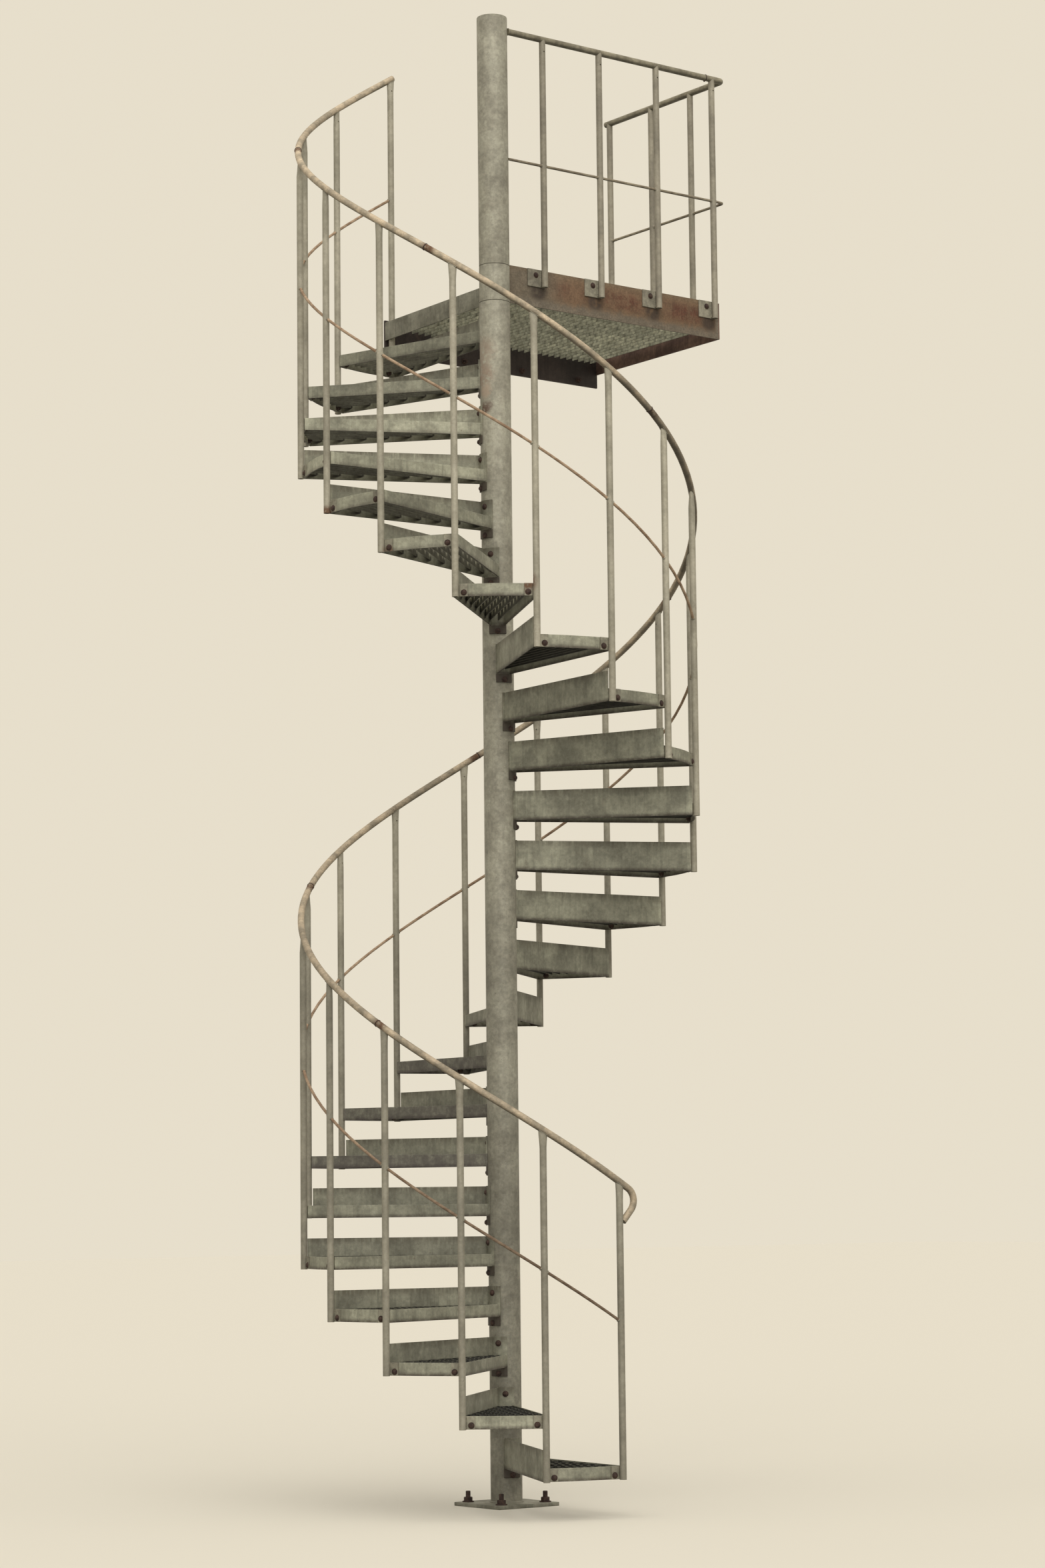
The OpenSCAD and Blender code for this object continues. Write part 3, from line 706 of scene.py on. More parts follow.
rod_rust = rusty("rod_rust", light=(0.46, 0.325, 0.205), dark=(0.26, 0.165, 0.098), scale=26.0,
                 marks=rod_marks)
bolt_rust = rusty("bolt_rust", light=(0.070, 0.040, 0.028), dark=(0.028, 0.017, 0.014), scale=60.0)

# %% [markdown]
# ## Making pieces
# Every part ends the same way: its faces are turned outwards, its smooth and sharp edges are marked, and
# it gets a material and a body to ride on, and the CAD nodes that it stands for are hidden.
# Shapes that repeat are made once as a pattern and stamped wherever they belong.

# %% Helpers that finish and repeat shapes
SMOOTH_BELOW = math.radians(35)
triangle_count = {}


def finish_shape(bm):
    """Turn faces outwards and mark the edges that stay sharp."""
    bmesh.ops.recalc_face_normals(bm, faces=bm.faces)
    for face in bm.faces:
        face.smooth = True
    for edge in bm.edges:
        edge.smooth = len(edge.link_faces) == 2 and edge.calc_face_angle() < SMOOTH_BELOW


def pattern(name, bm):
    """Keep a shape as a mesh that can be stamped many times."""
    finish_shape(bm)
    mesh = bpy.data.meshes.new(name)
    bm.to_mesh(mesh)
    bm.free()
    return mesh


def stamp(bm, shape, place):
    """Add a copy of a pattern to a piece, at a place."""
    before = len(bm.verts)
    bm.from_mesh(shape)
    bm.verts.ensure_lookup_table()
    bmesh.ops.transform(bm, matrix=place, verts=bm.verts[before:])


def stamped(shape, places):
    """New shape that holds one copy of a pattern at each place."""
    bm = bmesh.new()
    for place in places:
        stamp(bm, shape, place)
    return bm


def make_piece(name, bm, finish, slot, *nodes):
    """Turn a shape into a finished piece that stands for CAD nodes."""
    piece = bpy.data.objects.new(name, pattern(name, bm))
    piece.data.materials.append(finish)
    bpy.context.scene.collection.objects.link(piece)
    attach(piece, "root")
    if nodes:
        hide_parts(*nodes)
    piece.data.calc_loop_triangles()
    triangle_count[name] = len(piece.data.loop_triangles)
    print(name, "has", triangle_count[name], "triangles")


print("edges stay sharp above", round(math.degrees(SMOOTH_BELOW)), "degrees")

# %% [markdown]
# ## Flat bars and bent bars
# Nearly all of the stair is cut from flat bar. A straight bar starts as a cube that is stretched to size
# and then bevelled, so that its edges catch a thin line of light. A bar that bends round the column
# starts as its own cross-section, one small face with rounded corners, which is spun through the angle.

# %% Helpers for bars
ALONG_X = Matrix.Rotation(QUARTER_TURN, 4, "Y")
ALONG_Y = Matrix.Rotation(QUARTER_TURN, 4, "X")
BAR_EDGE = 0.0008
PLATE_EDGE = 0.001


def flat_bar(bm, low, high, place=Matrix(), edge=BAR_EDGE, segments=1):
    """Straight bar between two corners, with rounded edges."""
    low, high = Vector(low), Vector(high)
    size = Matrix.Diagonal((*(high - low), 1.0))
    cube = bmesh.ops.create_cube(bm, size=1.0, matrix=place @ Matrix.Translation((low + high) / 2) @ size)
    edges = list({e for vert in cube["verts"] for e in vert.link_edges})
    bmesh.ops.bevel(bm, geom=edges, offset=edge, offset_type="OFFSET", segments=segments, profile=0.5,
                    affect="EDGES", material=-1)


def plate_shape(low, high, place=Matrix(), edge=PLATE_EDGE):
    """New shape that holds one plate with softly rounded edges."""
    bm = bmesh.new()
    flat_bar(bm, low, high, place, edge, segments=2)
    return bm


def bent_bar(bm, radius, thickness, low, high, start, end, steps, edge=BAR_EDGE):
    """Upright bar bent round the Z axis, from one angle to another."""
    size = Matrix.Diagonal((thickness, high - low, 1, 1))
    middle = Matrix.Translation((radius + thickness / 2, 0, (low + high) / 2))
    grid = bmesh.ops.create_grid(bm, x_segments=1, y_segments=1, size=0.5,
                                 matrix=Matrix.Rotation(start, 4, "Z") @ middle @ ALONG_Y @ size)
    rounded = bmesh.ops.bevel(bm, geom=grid["verts"], offset=edge, offset_type="OFFSET", segments=1,
                              profile=0.5, affect="VERTICES", material=-1)
    section = {face for vert in rounded["verts"] for face in vert.link_faces}
    sides = {item for face in section for item in (*face.verts, *face.edges)}
    bmesh.ops.spin(bm, geom=[*section, *sides], cent=(0, 0, 0), axis=(0, 0, 1), dvec=(0, 0, 0),
                   angle=end - start, steps=steps, use_duplicate=False)


print("rounded edges in mm:", BAR_EDGE * 1000, "on bars,", PLATE_EDGE * 1000, "on plates")

# %% Helpers for lines in the plan
def left_of(direction):
    """Level direction that points to the left of another one."""
    return Vector((-direction.y, direction.x, 0))


def along_line(start, direction):
    """Matrix whose X axis starts at a point of the plan and runs in a direction, with Z up."""
    place = Matrix((direction, left_of(direction), Vector((0, 0, 1)))).transposed().to_4x4()
    place.translation = (start[0], start[1], 0)
    return place


def point_on(line, along, offset=0.0, height=0.0):
    """Point along a line, moved to its left by an offset."""
    start, direction = line
    return start + direction * along + left_of(direction) * offset + Vector((0, 0, height))


def reach_of(line, radius):
    """Distance along a line, from its start, at which it leaves a circle round the column."""
    start, direction = line
    half = start.dot(direction)
    return -half + math.sqrt(max(0.0, half * half - start.length_squared + radius * radius))


print("left of the X axis is", tuple(left_of(Vector((1, 0, 0)))))

# %% [markdown]
# ## Round parts
# Tubes, rods and bolts are round. A washer or a bolt head is a short profile turned on a lathe, which is
# what a full spin does. A tube starts as a disc that is spun or extruded along its way, so that it is
# closed at both ends. Extruding a single face keeps that face, which then lies inside the shape. In a
# weld or a nut nobody sees it, but where a tube should be open it has to be deleted. That isn't done
# here: a rail's end is inset by the tube's thickness and pushed back, and a thin lid is left at its mouth.

# %% Helpers for turned and pushed shapes
TUBE_SIDES = 20
ROD_SIDES = 10


def geometry_of(items, kind):
    """The vertices, edges or faces in a list of geometry."""
    return [item for item in items if isinstance(item, kind)]


def lathe(bm, profile, steps):
    """Turn a profile of (radius, height) points round the Z axis."""
    points = [bm.verts.new((radius, 0, height)) for radius, height in profile]
    lines = [bm.edges.new(pair) for pair in zip(points, points[1:])]
    bmesh.ops.spin(bm, geom=[*points, *lines], cent=(0, 0, 0), axis=(0, 0, 1), dvec=(0, 0, 0),
                   angle=FULL_TURN, steps=steps, use_merge=True, use_duplicate=False)
    bmesh.ops.remove_doubles(bm, verts=bm.verts, dist=1e-6)


def disc(bm, radius, sides, place):
    """Disc that faces along the Z axis of its place; returns its face."""
    circle = bmesh.ops.create_circle(bm, cap_ends=True, cap_tris=False, segments=sides, radius=radius,
                                     matrix=place)
    return circle["verts"][0].link_faces[0]


def pushed(bm, face, move, scale=1.0):
    """Extrude a face by a move, scale its new end and return it. The first face stays where it was."""
    made = bmesh.ops.extrude_face_region(bm, geom=[face])["geom"]
    end = geometry_of(made, bmesh.types.BMFace)[0]
    bmesh.ops.translate(bm, verts=end.verts, vec=move)
    if scale != 1.0:
        middle = Matrix.Translation(-end.calc_center_median())
        bmesh.ops.scale(bm, verts=end.verts, vec=(scale, scale, scale), space=middle)
    return end


def swung(bm, face, centre, axis, angle, steps, climb=(0, 0, 0)):
    """Spin a face about an axis and return its last copy. Climb is added at every step."""
    out = bmesh.ops.spin(bm, geom=[face, *face.edges, *face.verts], cent=centre, axis=axis, dvec=climb,
                         angle=angle, steps=steps, use_duplicate=False)
    return geometry_of(out["geom_last"], bmesh.types.BMFace)[0]


def inset_end(bm, face, inwards, depth=0.04):
    """Inset the end of a tube and push its middle inwards. A lid stays at the mouth."""
    bmesh.ops.inset_region(bm, faces=[face], thickness=TUBE_WALL, use_even_offset=True)
    pushed(bm, face, Vector(inwards).normalized() * depth)


print("sides of a tube and of a rod:", TUBE_SIDES, ROD_SIDES)

# %% [markdown]
# ## Weld beads
# Every joint shows a small bead. Along a plate a welder leaves a row of ripples, so a straight bead is a
# thin disc that is pushed on a little at a time and swells and shrinks in turn. Round a tube the ripples
# can't be told apart, so there a plain ring, a circle spun round the tube, is enough.

# %% Helpers for welds and for parts on a surface
RIPPLE = 0.0045
SWELL = 1.45
SHRINK = 0.69


def line_place(start, run):
    """Matrix at a point whose Z axis runs along a direction."""
    return Matrix.Translation(start) @ Vector(run).to_track_quat("Z", "Y").to_matrix().to_4x4()


def weld_seam(bm, start, end, size):
    """Straight weld bead from one point to another, with the ripples that a welder leaves."""
    run = Vector(end) - Vector(start)
    count = max(3, round(run.length / RIPPLE))
    face = disc(bm, size * 0.6, 6, line_place(start, run))
    for index in range(count):
        face = pushed(bm, face, run / count, SWELL if index % 2 == 0 else SHRINK)


def weld_ring(bm, radius, size, place=Matrix(), steps=14, sides=5):
    """Weld bead all round a tube that runs along the Z axis of its place."""
    before = set(bm.verts)
    circle = bmesh.ops.create_circle(bm, cap_ends=False, segments=sides, radius=size,
                                     matrix=Matrix.Translation((radius, 0, 0)) @ ALONG_Y)
    lines = list({e for vert in circle["verts"] for e in vert.link_edges})
    bmesh.ops.spin(bm, geom=[*circle["verts"], *lines], cent=(0, 0, 0), axis=(0, 0, 1), dvec=(0, 0, 0),
                   angle=FULL_TURN, steps=steps, use_merge=True, use_duplicate=False)
    bmesh.ops.transform(bm, matrix=place, verts=[vert for vert in bm.verts if vert not in before])


print("a weld ripples every", RIPPLE * 1000, "mm")

# %% [markdown]
# ## Column
# The column is a steel tube 127 mm wide in three lengths: the long lower tube, the sleeve that carries
# the landing, and the upper tube with a closed top. Where two lengths meet there is a thin dark line. A
# cylinder would hide those joints, so each length is turned from a profile with small chamfers.

# %% Column in three lengths
BASE_T = 0.015
HUB_LOW = 4.910
HUB_HIGH = 5.065
COLUMN_TOP = 6.130
COLUMN_SIDES = 56
JOINT_CHAMFER = 0.0022
CAP_CHAMFER = 0.004
FOOT_BEAD = 0.005


def column_length(low, high, top=JOINT_CHAMFER):
    """Length of the column between two heights, chamfered at both ends."""
    bm = bmesh.new()
    lathe(bm, [(0, low), (COLUMN_R - JOINT_CHAMFER, low), (COLUMN_R, low + JOINT_CHAMFER),
               (COLUMN_R, high - top), (COLUMN_R - top * 0.3, high - top * 0.3), (COLUMN_R - top, high),
               (0, high)], COLUMN_SIDES)
    return bm


column = column_length(BASE_T, HUB_LOW)
weld_ring(column, COLUMN_R + 0.001, FOOT_BEAD, Matrix.Translation((0, 0, BASE_T + 0.001)), steps=40, sides=6)
make_piece("column_tube", column, column_zinc, "zinc_column", "column")
make_piece("hub_sleeve", column_length(HUB_LOW, HUB_HIGH), column_zinc, "zinc_column", "landing_hub")
make_piece("upper_tube", column_length(HUB_HIGH, COLUMN_TOP, CAP_CHAMFER), column_zinc, "zinc_column",
           "column_top")

# %% [markdown]
# ## Bolts
# The stair is held together by bolts with domed heads on rusty washers, and by hexagon nuts behind them.
# A sphere cut in half would look like a toy, so the head and its washer are turned together from one
# profile. The nut is a six-sided disc with bevelled edges and the end of its bolt.

# %% Patterns for bolts and nuts
DOME_PROFILE = [(0, 0.0088), (0.0048, 0.0080), (0.0083, 0.0056), (0.0096, 0.0018), (0.0124, 0.0016),
                (0.0126, 0.0004), (0.0124, -0.001), (0, -0.001)]


def nut_shape(washer_r, washer_t, nut_r, nut_t, stud_r, stud_out):
    """Washer, hexagon nut and the end of its bolt, standing on the plane of height 0."""
    bm = bmesh.new()
    lathe(bm, [(0, washer_t), (washer_r - 0.0005, washer_t), (washer_r, washer_t * 0.6), (washer_r, -0.001),
               (0, -0.001)], 14)
    face = disc(bm, nut_r, 6, Matrix.Translation((0, 0, washer_t * 0.5)))
    face = pushed(bm, face, (0, 0, nut_t))
    pushed(bm, face, (0, 0, nut_t * 0.14), 0.88)
    face = disc(bm, stud_r, 10, Matrix.Translation((0, 0, washer_t)))
    face = pushed(bm, face, (0, 0, nut_t + stud_out))
    pushed(bm, face, (0, 0, stud_r * 0.2), 0.8)
    return bm


bm = bmesh.new()
lathe(bm, DOME_PROFILE, 12)
domed_bolt = pattern("domed_bolt", bm)
tab_nut = pattern("tab_nut", nut_shape(washer_r=0.012, washer_t=0.002, nut_r=0.0106, nut_t=0.009,
                                       stud_r=0.005, stud_out=0.004))
wall_nut = pattern("wall_nut", nut_shape(washer_r=0.0135, washer_t=0.003, nut_r=0.0115, nut_t=0.010,
                                         stud_r=0.006, stud_out=0.008))
anchor_nut = pattern("anchor_nut", nut_shape(washer_r=0.024, washer_t=0.004, nut_r=0.0175, nut_t=0.016,
                                             stud_r=0.010, stud_out=0.022))
print("faces of a bolt and a nut:", len(domed_bolt.polygons), len(tab_nut.polygons))

# %% [markdown]
# ## Base plate
# The photograph doesn't show the foot of the column, so it gets the usual square plate, with rounded
# edges, and four anchor nuts with the ends of their studs. Four nuts could be modelled apart, but one
# pattern stamped four times keeps them alike.

# %% Base plate and anchors
BASE_HALF = 0.150
BASE_EDGE = 0.002
ANCHOR_OFF = 0.110

base = plate_shape((-BASE_HALF, -BASE_HALF, 0), (BASE_HALF, BASE_HALF, BASE_T), edge=BASE_EDGE)
make_piece("base_plate_rounded", base, plate_zinc, "zinc_plate", "base_plate")
anchors = [Matrix.Translation((x, y, BASE_T))
           for x in (-ANCHOR_OFF, ANCHOR_OFF) for y in (-ANCHOR_OFF, ANCHOR_OFF)]
make_piece("anchor_nuts", stamped(anchor_nut, anchors), bolt_rust, "zinc_dark")

# %% [markdown]
# ## Treads
# A tread is a welded tray: a low plate in front, a taller one behind that closes the riser, a curved end
# plate outside and a curved saddle that is bolted to the column. All 24 are alike, so one pattern is
# made, lying along the X axis with its walking surface at height 0, and stamped at every step. The front
# and rear plates aren't parallel: each is a line in the plan from the saddle to a corner.

# %% Sizes of a tread
PLATE_T = 0.005
PLATE_H = 0.050
REAR_RISE = 0.070
SADDLE_T = 0.006
SADDLE_HALF = 0.035
SADDLE_ABOVE = 0.072
SADDLE_BELOW = 0.086
FRONT_OVERHANG = 0.010
REAR_OVERHANG = 0.015
WELD_LAP = 0.002
TAB_R = RAIL_R - TUBE_R - 0.0012
END_R = TAB_R - 0.0003
SADDLE_R = HUB_CLEAR + SADDLE_T
SADDLE_ANGLE = math.asin(SADDLE_HALF / SADDLE_R)
FRONT_CORNER = STEP_ANGLE / 2 + FRONT_OVERHANG / END_R
REAR_CORNER = STEP_ANGLE / 2 + REAR_OVERHANG / END_R


def plate_line(side, corner):
    """Line of a plate in the plan, from the saddle to a corner: its start and its direction."""
    start = polar(HUB_CLEAR + SADDLE_T / 2, side * (SADDLE_ANGLE - WELD_LAP / SADDLE_R))
    end = polar(END_R - PLATE_T / 2, side * (corner - WELD_LAP / END_R))
    return start, (end - start).normalized()


front_line = plate_line(1, FRONT_CORNER)
rear_line = plate_line(-1, REAR_CORNER)
to_rear = -left_of(front_line[1])
into_tread = left_of(rear_line[1])
print("a tread is", round(2 * END_R * math.sin((FRONT_CORNER + REAR_CORNER) / 2), 3), "m wide outside")

# %% Plates of a tread's tray
CORNER_GAP = 0.0004
CORNER_GAP_ANGLE = 0.0004
END_STEPS = 10
SADDLE_STEPS = 8

tray = bmesh.new()
for line, inner_side, top in ((front_line, -1, 0.0), (rear_line, 1, REAR_RISE)):
    length = reach_of(line, END_R - CORNER_GAP)
    low_y, high_y = sorted((0.0, inner_side * PLATE_T))
    flat_bar(tray, (0, low_y, -PLATE_H), (length, high_y, top), along_line(*line))
rear_angle, front_angle = [math.atan2(*point_on(line, reach_of(line, END_R)).yx)
                           for line in (rear_line, front_line)]
bent_bar(tray, END_R - PLATE_T, PLATE_T, -PLATE_H, 0, rear_angle + CORNER_GAP_ANGLE,
         front_angle - CORNER_GAP_ANGLE, END_STEPS)
bent_bar(tray, HUB_CLEAR, SADDLE_T, -SADDLE_BELOW, SADDLE_ABOVE, -SADDLE_ANGLE, SADDLE_ANGLE, SADDLE_STEPS)
print("faces of the tray's four plates:", len(tray.faces))

# %% Welds of a tread's tray
SADDLE_BEAD = 0.0032
END_BEAD = 0.003
BEAD_PROUD = 0.0005
SADDLE_BEAD_OFF = 0.0008

for line, outer_side, top in ((front_line, 1, 0.0), (rear_line, -1, REAR_RISE)):
    seam, off = reach_of(line, SADDLE_R + BEAD_PROUD), outer_side * SADDLE_BEAD_OFF
    weld_seam(tray, point_on(line, seam, off, 0.002 - PLATE_H), point_on(line, seam, off, top - 0.002),
              SADDLE_BEAD)
    seam, off = reach_of(line, END_R - PLATE_T - BEAD_PROUD), -outer_side * (PLATE_T + BEAD_PROUD)
    weld_seam(tray, point_on(line, seam, off, 0.004 - PLATE_H), point_on(line, seam, off, -0.004), END_BEAD)
print("faces with the welds:", len(tray.faces))

# %% [markdown]
# ## Twenty-four trays
# The painted shadows on a rear plate follow the ends of the grating's bars, which lie slantwise to the
# plate. The material can't know where they are, so the pattern carries the count of bars in a UV map
# before it is stamped. A UV map travels with the mesh, so it is right on every tread, whichever way that
# one faces.

# %% All the treads
BAR_PITCH = 0.0343
BAR_H = 0.030
BAR_T = 0.003
FIRST_BAR = BAR_PITCH - PLATE_T + BAR_T / 2


def mark_bar_ends(bm):
    """Write on the rear plate's inner face, as a UV map, how many bars have ended on it so far."""
    opening = rear_line[1].dot(to_rear)
    first_end = (FIRST_BAR - (rear_line[0] - front_line[0]).dot(to_rear)) / opening
    layer = bm.loops.layers.uv.new("bar_ends")
    bm.normal_update()
    for face in bm.faces:
        faces_in = face.normal.dot(into_tread) > 0.9
        on_plate = (face.calc_center_median() - rear_line[0]).dot(into_tread) < 0.02
        for corner in face.loops:
            along = (corner.vert.co - rear_line[0]).dot(rear_line[1]) - first_end
            corner[layer].uv = (along * opening / BAR_PITCH, float(faces_in and on_plate))


def tread_place(step):
    """Place of a tread: halfway between its two balusters, at its own height."""
    return turned(baluster_angle(step) - STEP_ANGLE / 2, tread_z(step))


bmesh.ops.recalc_face_normals(tray, faces=tray.faces)
mark_bar_ends(tray)
tread_tray = pattern("tread_tray", tray)
for step in range(1, TREAD_COUNT + 1):
    make_piece(f"tread_tray_{step:02d}", stamped(tread_tray, [tread_place(step)]), tread_zinc, "zinc_plate",
               f"tread_{step:02d}")

# %% [markdown]
# ## Grating
# The treads are filled with forge-welded bar grating: thin upright bars along the nosing and twisted
# square rods across them, pressed into their tops. From below, the twists of the rods catch the light
# in rows of small glints. A texture couldn't do that, so each rod is a square disc that is pushed
# forward and turned a little at every step.

# %% Helpers for grating
ROD_PITCH = 0.0762
ROD_W = 0.006
GRATING_DROP = 0.002
GRATING_EDGE = 0.0003
TWIST_STEP = 0.0095
TWIST_ANGLE = math.radians(30)


def twisted_rod(bm, start, end):
    """Square rod from one point to another that turns about its own length."""
    run = Vector(end) - Vector(start)
    count = max(1, round(run.length / TWIST_STEP))
    face = disc(bm, ROD_W * 0.62, 4, line_place(start, run))
    swung(bm, face, start, run.normalized(), TWIST_ANGLE * count, count, run / count)


def count_rods(bm, first_rod, direction):
    """Write on every corner, as a UV map, how many rod spacings it lies from the first rod."""
    layer = bm.loops.layers.uv.new("rod_count")
    for face in bm.faces:
        for corner in face.loops:
            corner[layer].uv = ((corner.vert.co - first_rod).dot(direction) / ROD_PITCH, 0.5)


print("a rod makes a full turn in", round(TWIST_STEP * FULL_TURN / TWIST_ANGLE, 3), "m")

# %% Bars of a tread's grating
BAR_COUNT = 9
LET_IN = PLATE_T * 0.55

filling = bmesh.new()
for index in range(BAR_COUNT):
    bar = (point_on(front_line, 0, -(FIRST_BAR + BAR_PITCH * index)), front_line[1])
    meets_rear = (point_on(rear_line, 0, LET_IN) - bar[0]).dot(into_tread) / bar[1].dot(into_tread)
    begins = max(meets_rear, reach_of(bar, SADDLE_R - 0.001))
    ends = reach_of(bar, END_R - LET_IN)
    flat_bar(filling, (begins, -BAR_T / 2, -GRATING_DROP - BAR_H), (ends, BAR_T / 2, -GRATING_DROP),
             along_line(*bar), GRATING_EDGE)
    print("bar", index + 1, "is", round(ends - begins, 3), "m long")

# %% Rods of a tread's grating
FIRST_ROD = ROD_PITCH / 3 + ROD_W / 2
MOST_RODS = 10

for index in range(MOST_RODS):
    start = point_on(front_line, FIRST_ROD + ROD_PITCH * index, -PLATE_T / 2, -GRATING_DROP - ROD_W / 2)
    width = (point_on(rear_line, 0, PLATE_T / 2) - start).dot(into_tread) / to_rear.dot(into_tread)
    level = Vector((start.x, start.y, 0))
    if level.length < END_R - PLATE_T and (level + to_rear * width).length > SADDLE_R + 0.003:
        width = min(width, reach_of((level, to_rear), END_R - PLATE_T / 2))
        twisted_rod(filling, start, start + to_rear * width)
count_rods(filling, point_on(front_line, FIRST_ROD), front_line[1])
tread_filling = pattern("tread_filling", filling)
print("faces of a tread's grating:", len(tread_filling.polygons))

# %% Grating of all the treads
TREADS_PER_PIECE = 6
for group in range(TREAD_COUNT // TREADS_PER_PIECE):
    first = TREADS_PER_PIECE * group + 1
    places = [tread_place(step) for step in range(first, first + TREADS_PER_PIECE)]
    make_piece(f"tread_filling_{group + 1}", stamped(tread_filling, places), grating_zinc, "zinc_grating",
               f"tread_gratings_{group + 1}")

# %% [markdown]
# ## Saddle bolts
# Two bolts hold each saddle to the column, one above the walking surface and one below it. They are the
# pattern from before, turned so that their Z axis points away from the column.

# %% Saddle bolts
SADDLE_BOLTS = (0.045, -0.075)
places = [tread_place(step) @ line_place((SADDLE_R, 0, height), (1, 0, 0))
          for step in range(1, TREAD_COUNT + 1) for height in SADDLE_BOLTS]
make_piece("saddle_bolts", stamped(domed_bolt, places), bolt_rust, "zinc_dark")

# %% [markdown]
# ## Balusters
# A baluster is a thin tube whose top is pressed oval and cut to fit under the handrail, with a drain hole
# on its inner side. The tube grows ring by ring from its foot; near the top each ring is squeezed in one
# direction and widened in the other, as in the press. The hole is a real one, cut with a Boolean
# modifier, so it stays dark from every side.

# %% Helpers for tubes that stand upright
DRAIN_R = 0.0035
DRAIN_DROP = 0.054
DRAIN_DEPTH = 0.006
FOOT_DEPTH = 0.030


def ring_on(bm, ring, height, wide=1.0, deep=1.0):
    """Extrude a ring of edges to a height and squeeze it; returns the new ring."""
    made = bmesh.ops.extrude_edge_only(bm, edges=ring)["geom"]
    verts = geometry_of(made, bmesh.types.BMVert)
    bmesh.ops.translate(bm, verts=verts, vec=(0, 0, height - verts[0].co.z))
    bmesh.ops.scale(bm, verts=verts, vec=(deep, wide, 1))
    return [edge for edge in geometry_of(made, bmesh.types.BMEdge) if edge.is_boundary]


def tube_foot(bm):
    """Open lower end of a tube that stands at height 0; returns its outer ring."""
    foot = bmesh.ops.create_circle(bm, cap_ends=False, segments=TUBE_SIDES, radius=TUBE_R)
    ring = list({edge for vert in foot["verts"] for edge in vert.link_edges})
    thin = (TUBE_R - TUBE_WALL) / TUBE_R
    inner = ring_on(bm, ring_on(bm, ring, 0.0, thin, thin), FOOT_DEPTH)
    bmesh.ops.edgeloop_fill(bm, edges=inner)
    return ring


def drained(bm, centre, axis):
    """Cut a drain hole into a tube with a Boolean modifier."""
    drill = bmesh.new()
    bmesh.ops.create_cone(drill, cap_ends=True, segments=16, radius1=DRAIN_R, radius2=DRAIN_R,
                          depth=2 * DRAIN_DEPTH,
                          matrix=Matrix.Translation(centre) @ Matrix.Rotation(QUARTER_TURN, 4, axis))
    body = bpy.data.objects.new("body", pattern("body", bm))
    cutter = bpy.data.objects.new("cutter", pattern("cutter", drill))
    for thing in (body, cutter):
        bpy.context.scene.collection.objects.link(thing)
    hole = body.modifiers.new("hole", "BOOLEAN")
    hole.object = cutter
    hole.operation = "DIFFERENCE"
    hole.solver = "EXACT"
    bpy.context.view_layer.update()
    result = bmesh.new()
    result.from_mesh(body.evaluated_get(bpy.context.evaluated_depsgraph_get()).data)
    for thing in (body, cutter):
        bpy.data.objects.remove(thing)
    return result


print("a drain hole is", DRAIN_R * 2000, "mm wide")

# %% Pattern of a baluster
PRESSED_W = 0.037
PRESSED_T = 0.0155
PRESS_H = 0.070
PRESS_STAGES = (0.15, 0.35, 0.6, 0.8, 0.985)
TOP_BEAD = 0.0019
TOP_BEAD_HALF = 0.0165
TOP_BEAD_OFF = 0.0088
FOOT_BELOW = 0.002


def baluster_shape(rail_z):
    """Tube from its foot at height 0 to the handrail, whose centre is at rail_z."""
    bm = bmesh.new()
    ring = ring_on(bm, tube_foot(bm), rail_z - PRESS_H)
    flat, wide = PRESSED_T / (2 * TUBE_R), PRESSED_W / (2 * TUBE_R)
    deep_before, wide_before = 1.0, 1.0
    for share in PRESS_STAGES:
        deep_now, wide_now = 1 + (flat - 1) * share, 1 + (wide - 1) * share
        ring = ring_on(bm, ring, rail_z - PRESS_H * (1 - share), wide_now / wide_before,
                       deep_now / deep_before)
        deep_before, wide_before = deep_now, wide_now
    bmesh.ops.edgeloop_fill(bm, edges=ring)
    bm = drained(bm, (-TUBE_R, 0, rail_z - DRAIN_DROP), "Y")
    drop = math.sqrt(TUBE_R ** 2 - TOP_BEAD_OFF ** 2) / math.cos(PITCH_ANGLE)
    for side in (-1, 1):
        start, end = [(side * TOP_BEAD_OFF, y, rail_z - drop - y * math.tan(PITCH_ANGLE))
                      for y in (-TOP_BEAD_HALF, TOP_BEAD_HALF)]
        weld_seam(bm, start, end, TOP_BEAD)
    return bm


long_height = HANDRAIL_H + RISE + PLATE_H + FOOT_BELOW
long_baluster = pattern("long_baluster", baluster_shape(long_height))
short_baluster = pattern("short_baluster", baluster_shape(long_height - RISE))
print("a baluster is", round(long_height, 3), "m high, the last one", round(long_height - RISE, 3))

# %% All balusters
def balusters(first, last):
    """Balusters from one number to another. The last of the stair has no lower tread, so it is short."""
    bm = bmesh.new()
    for step in range(first, last + 1):
        foot = tread_z(min(step + 1, TREAD_COUNT)) - PLATE_H - FOOT_BELOW
        shape = long_baluster if step < TREAD_COUNT else short_baluster
        stamp(bm, shape, turned(baluster_angle(step), foot) @ Matrix.Translation((RAIL_R, 0, 0)))
    return bm


make_piece("balusters_upper", balusters(0, 12), tube_zinc, "zinc_tube", "stair_balusters_upper")
make_piece("balusters_lower", balusters(13, TREAD_COUNT), tube_zinc, "zinc_tube", "stair_balusters_lower")

# %% [markdown]
# ## Tabs
# Two tabs bolt a baluster to the end plates of two neighbouring treads: the upper one reaches back to the
# tread beside its middle, the lower one forward to the tread at its foot. They are bent bars like the end
# plates, so they lie flat on them. The first baluster has a straight plate to the landing instead.

# %% Patterns for tabs
TAB_T = 0.005
TAB_EDGE = 0.0007
TAB_BEAD = 0.0026
TAB_STEPS = 4
TAB_ANGLE = 0.047 / RAIL_R


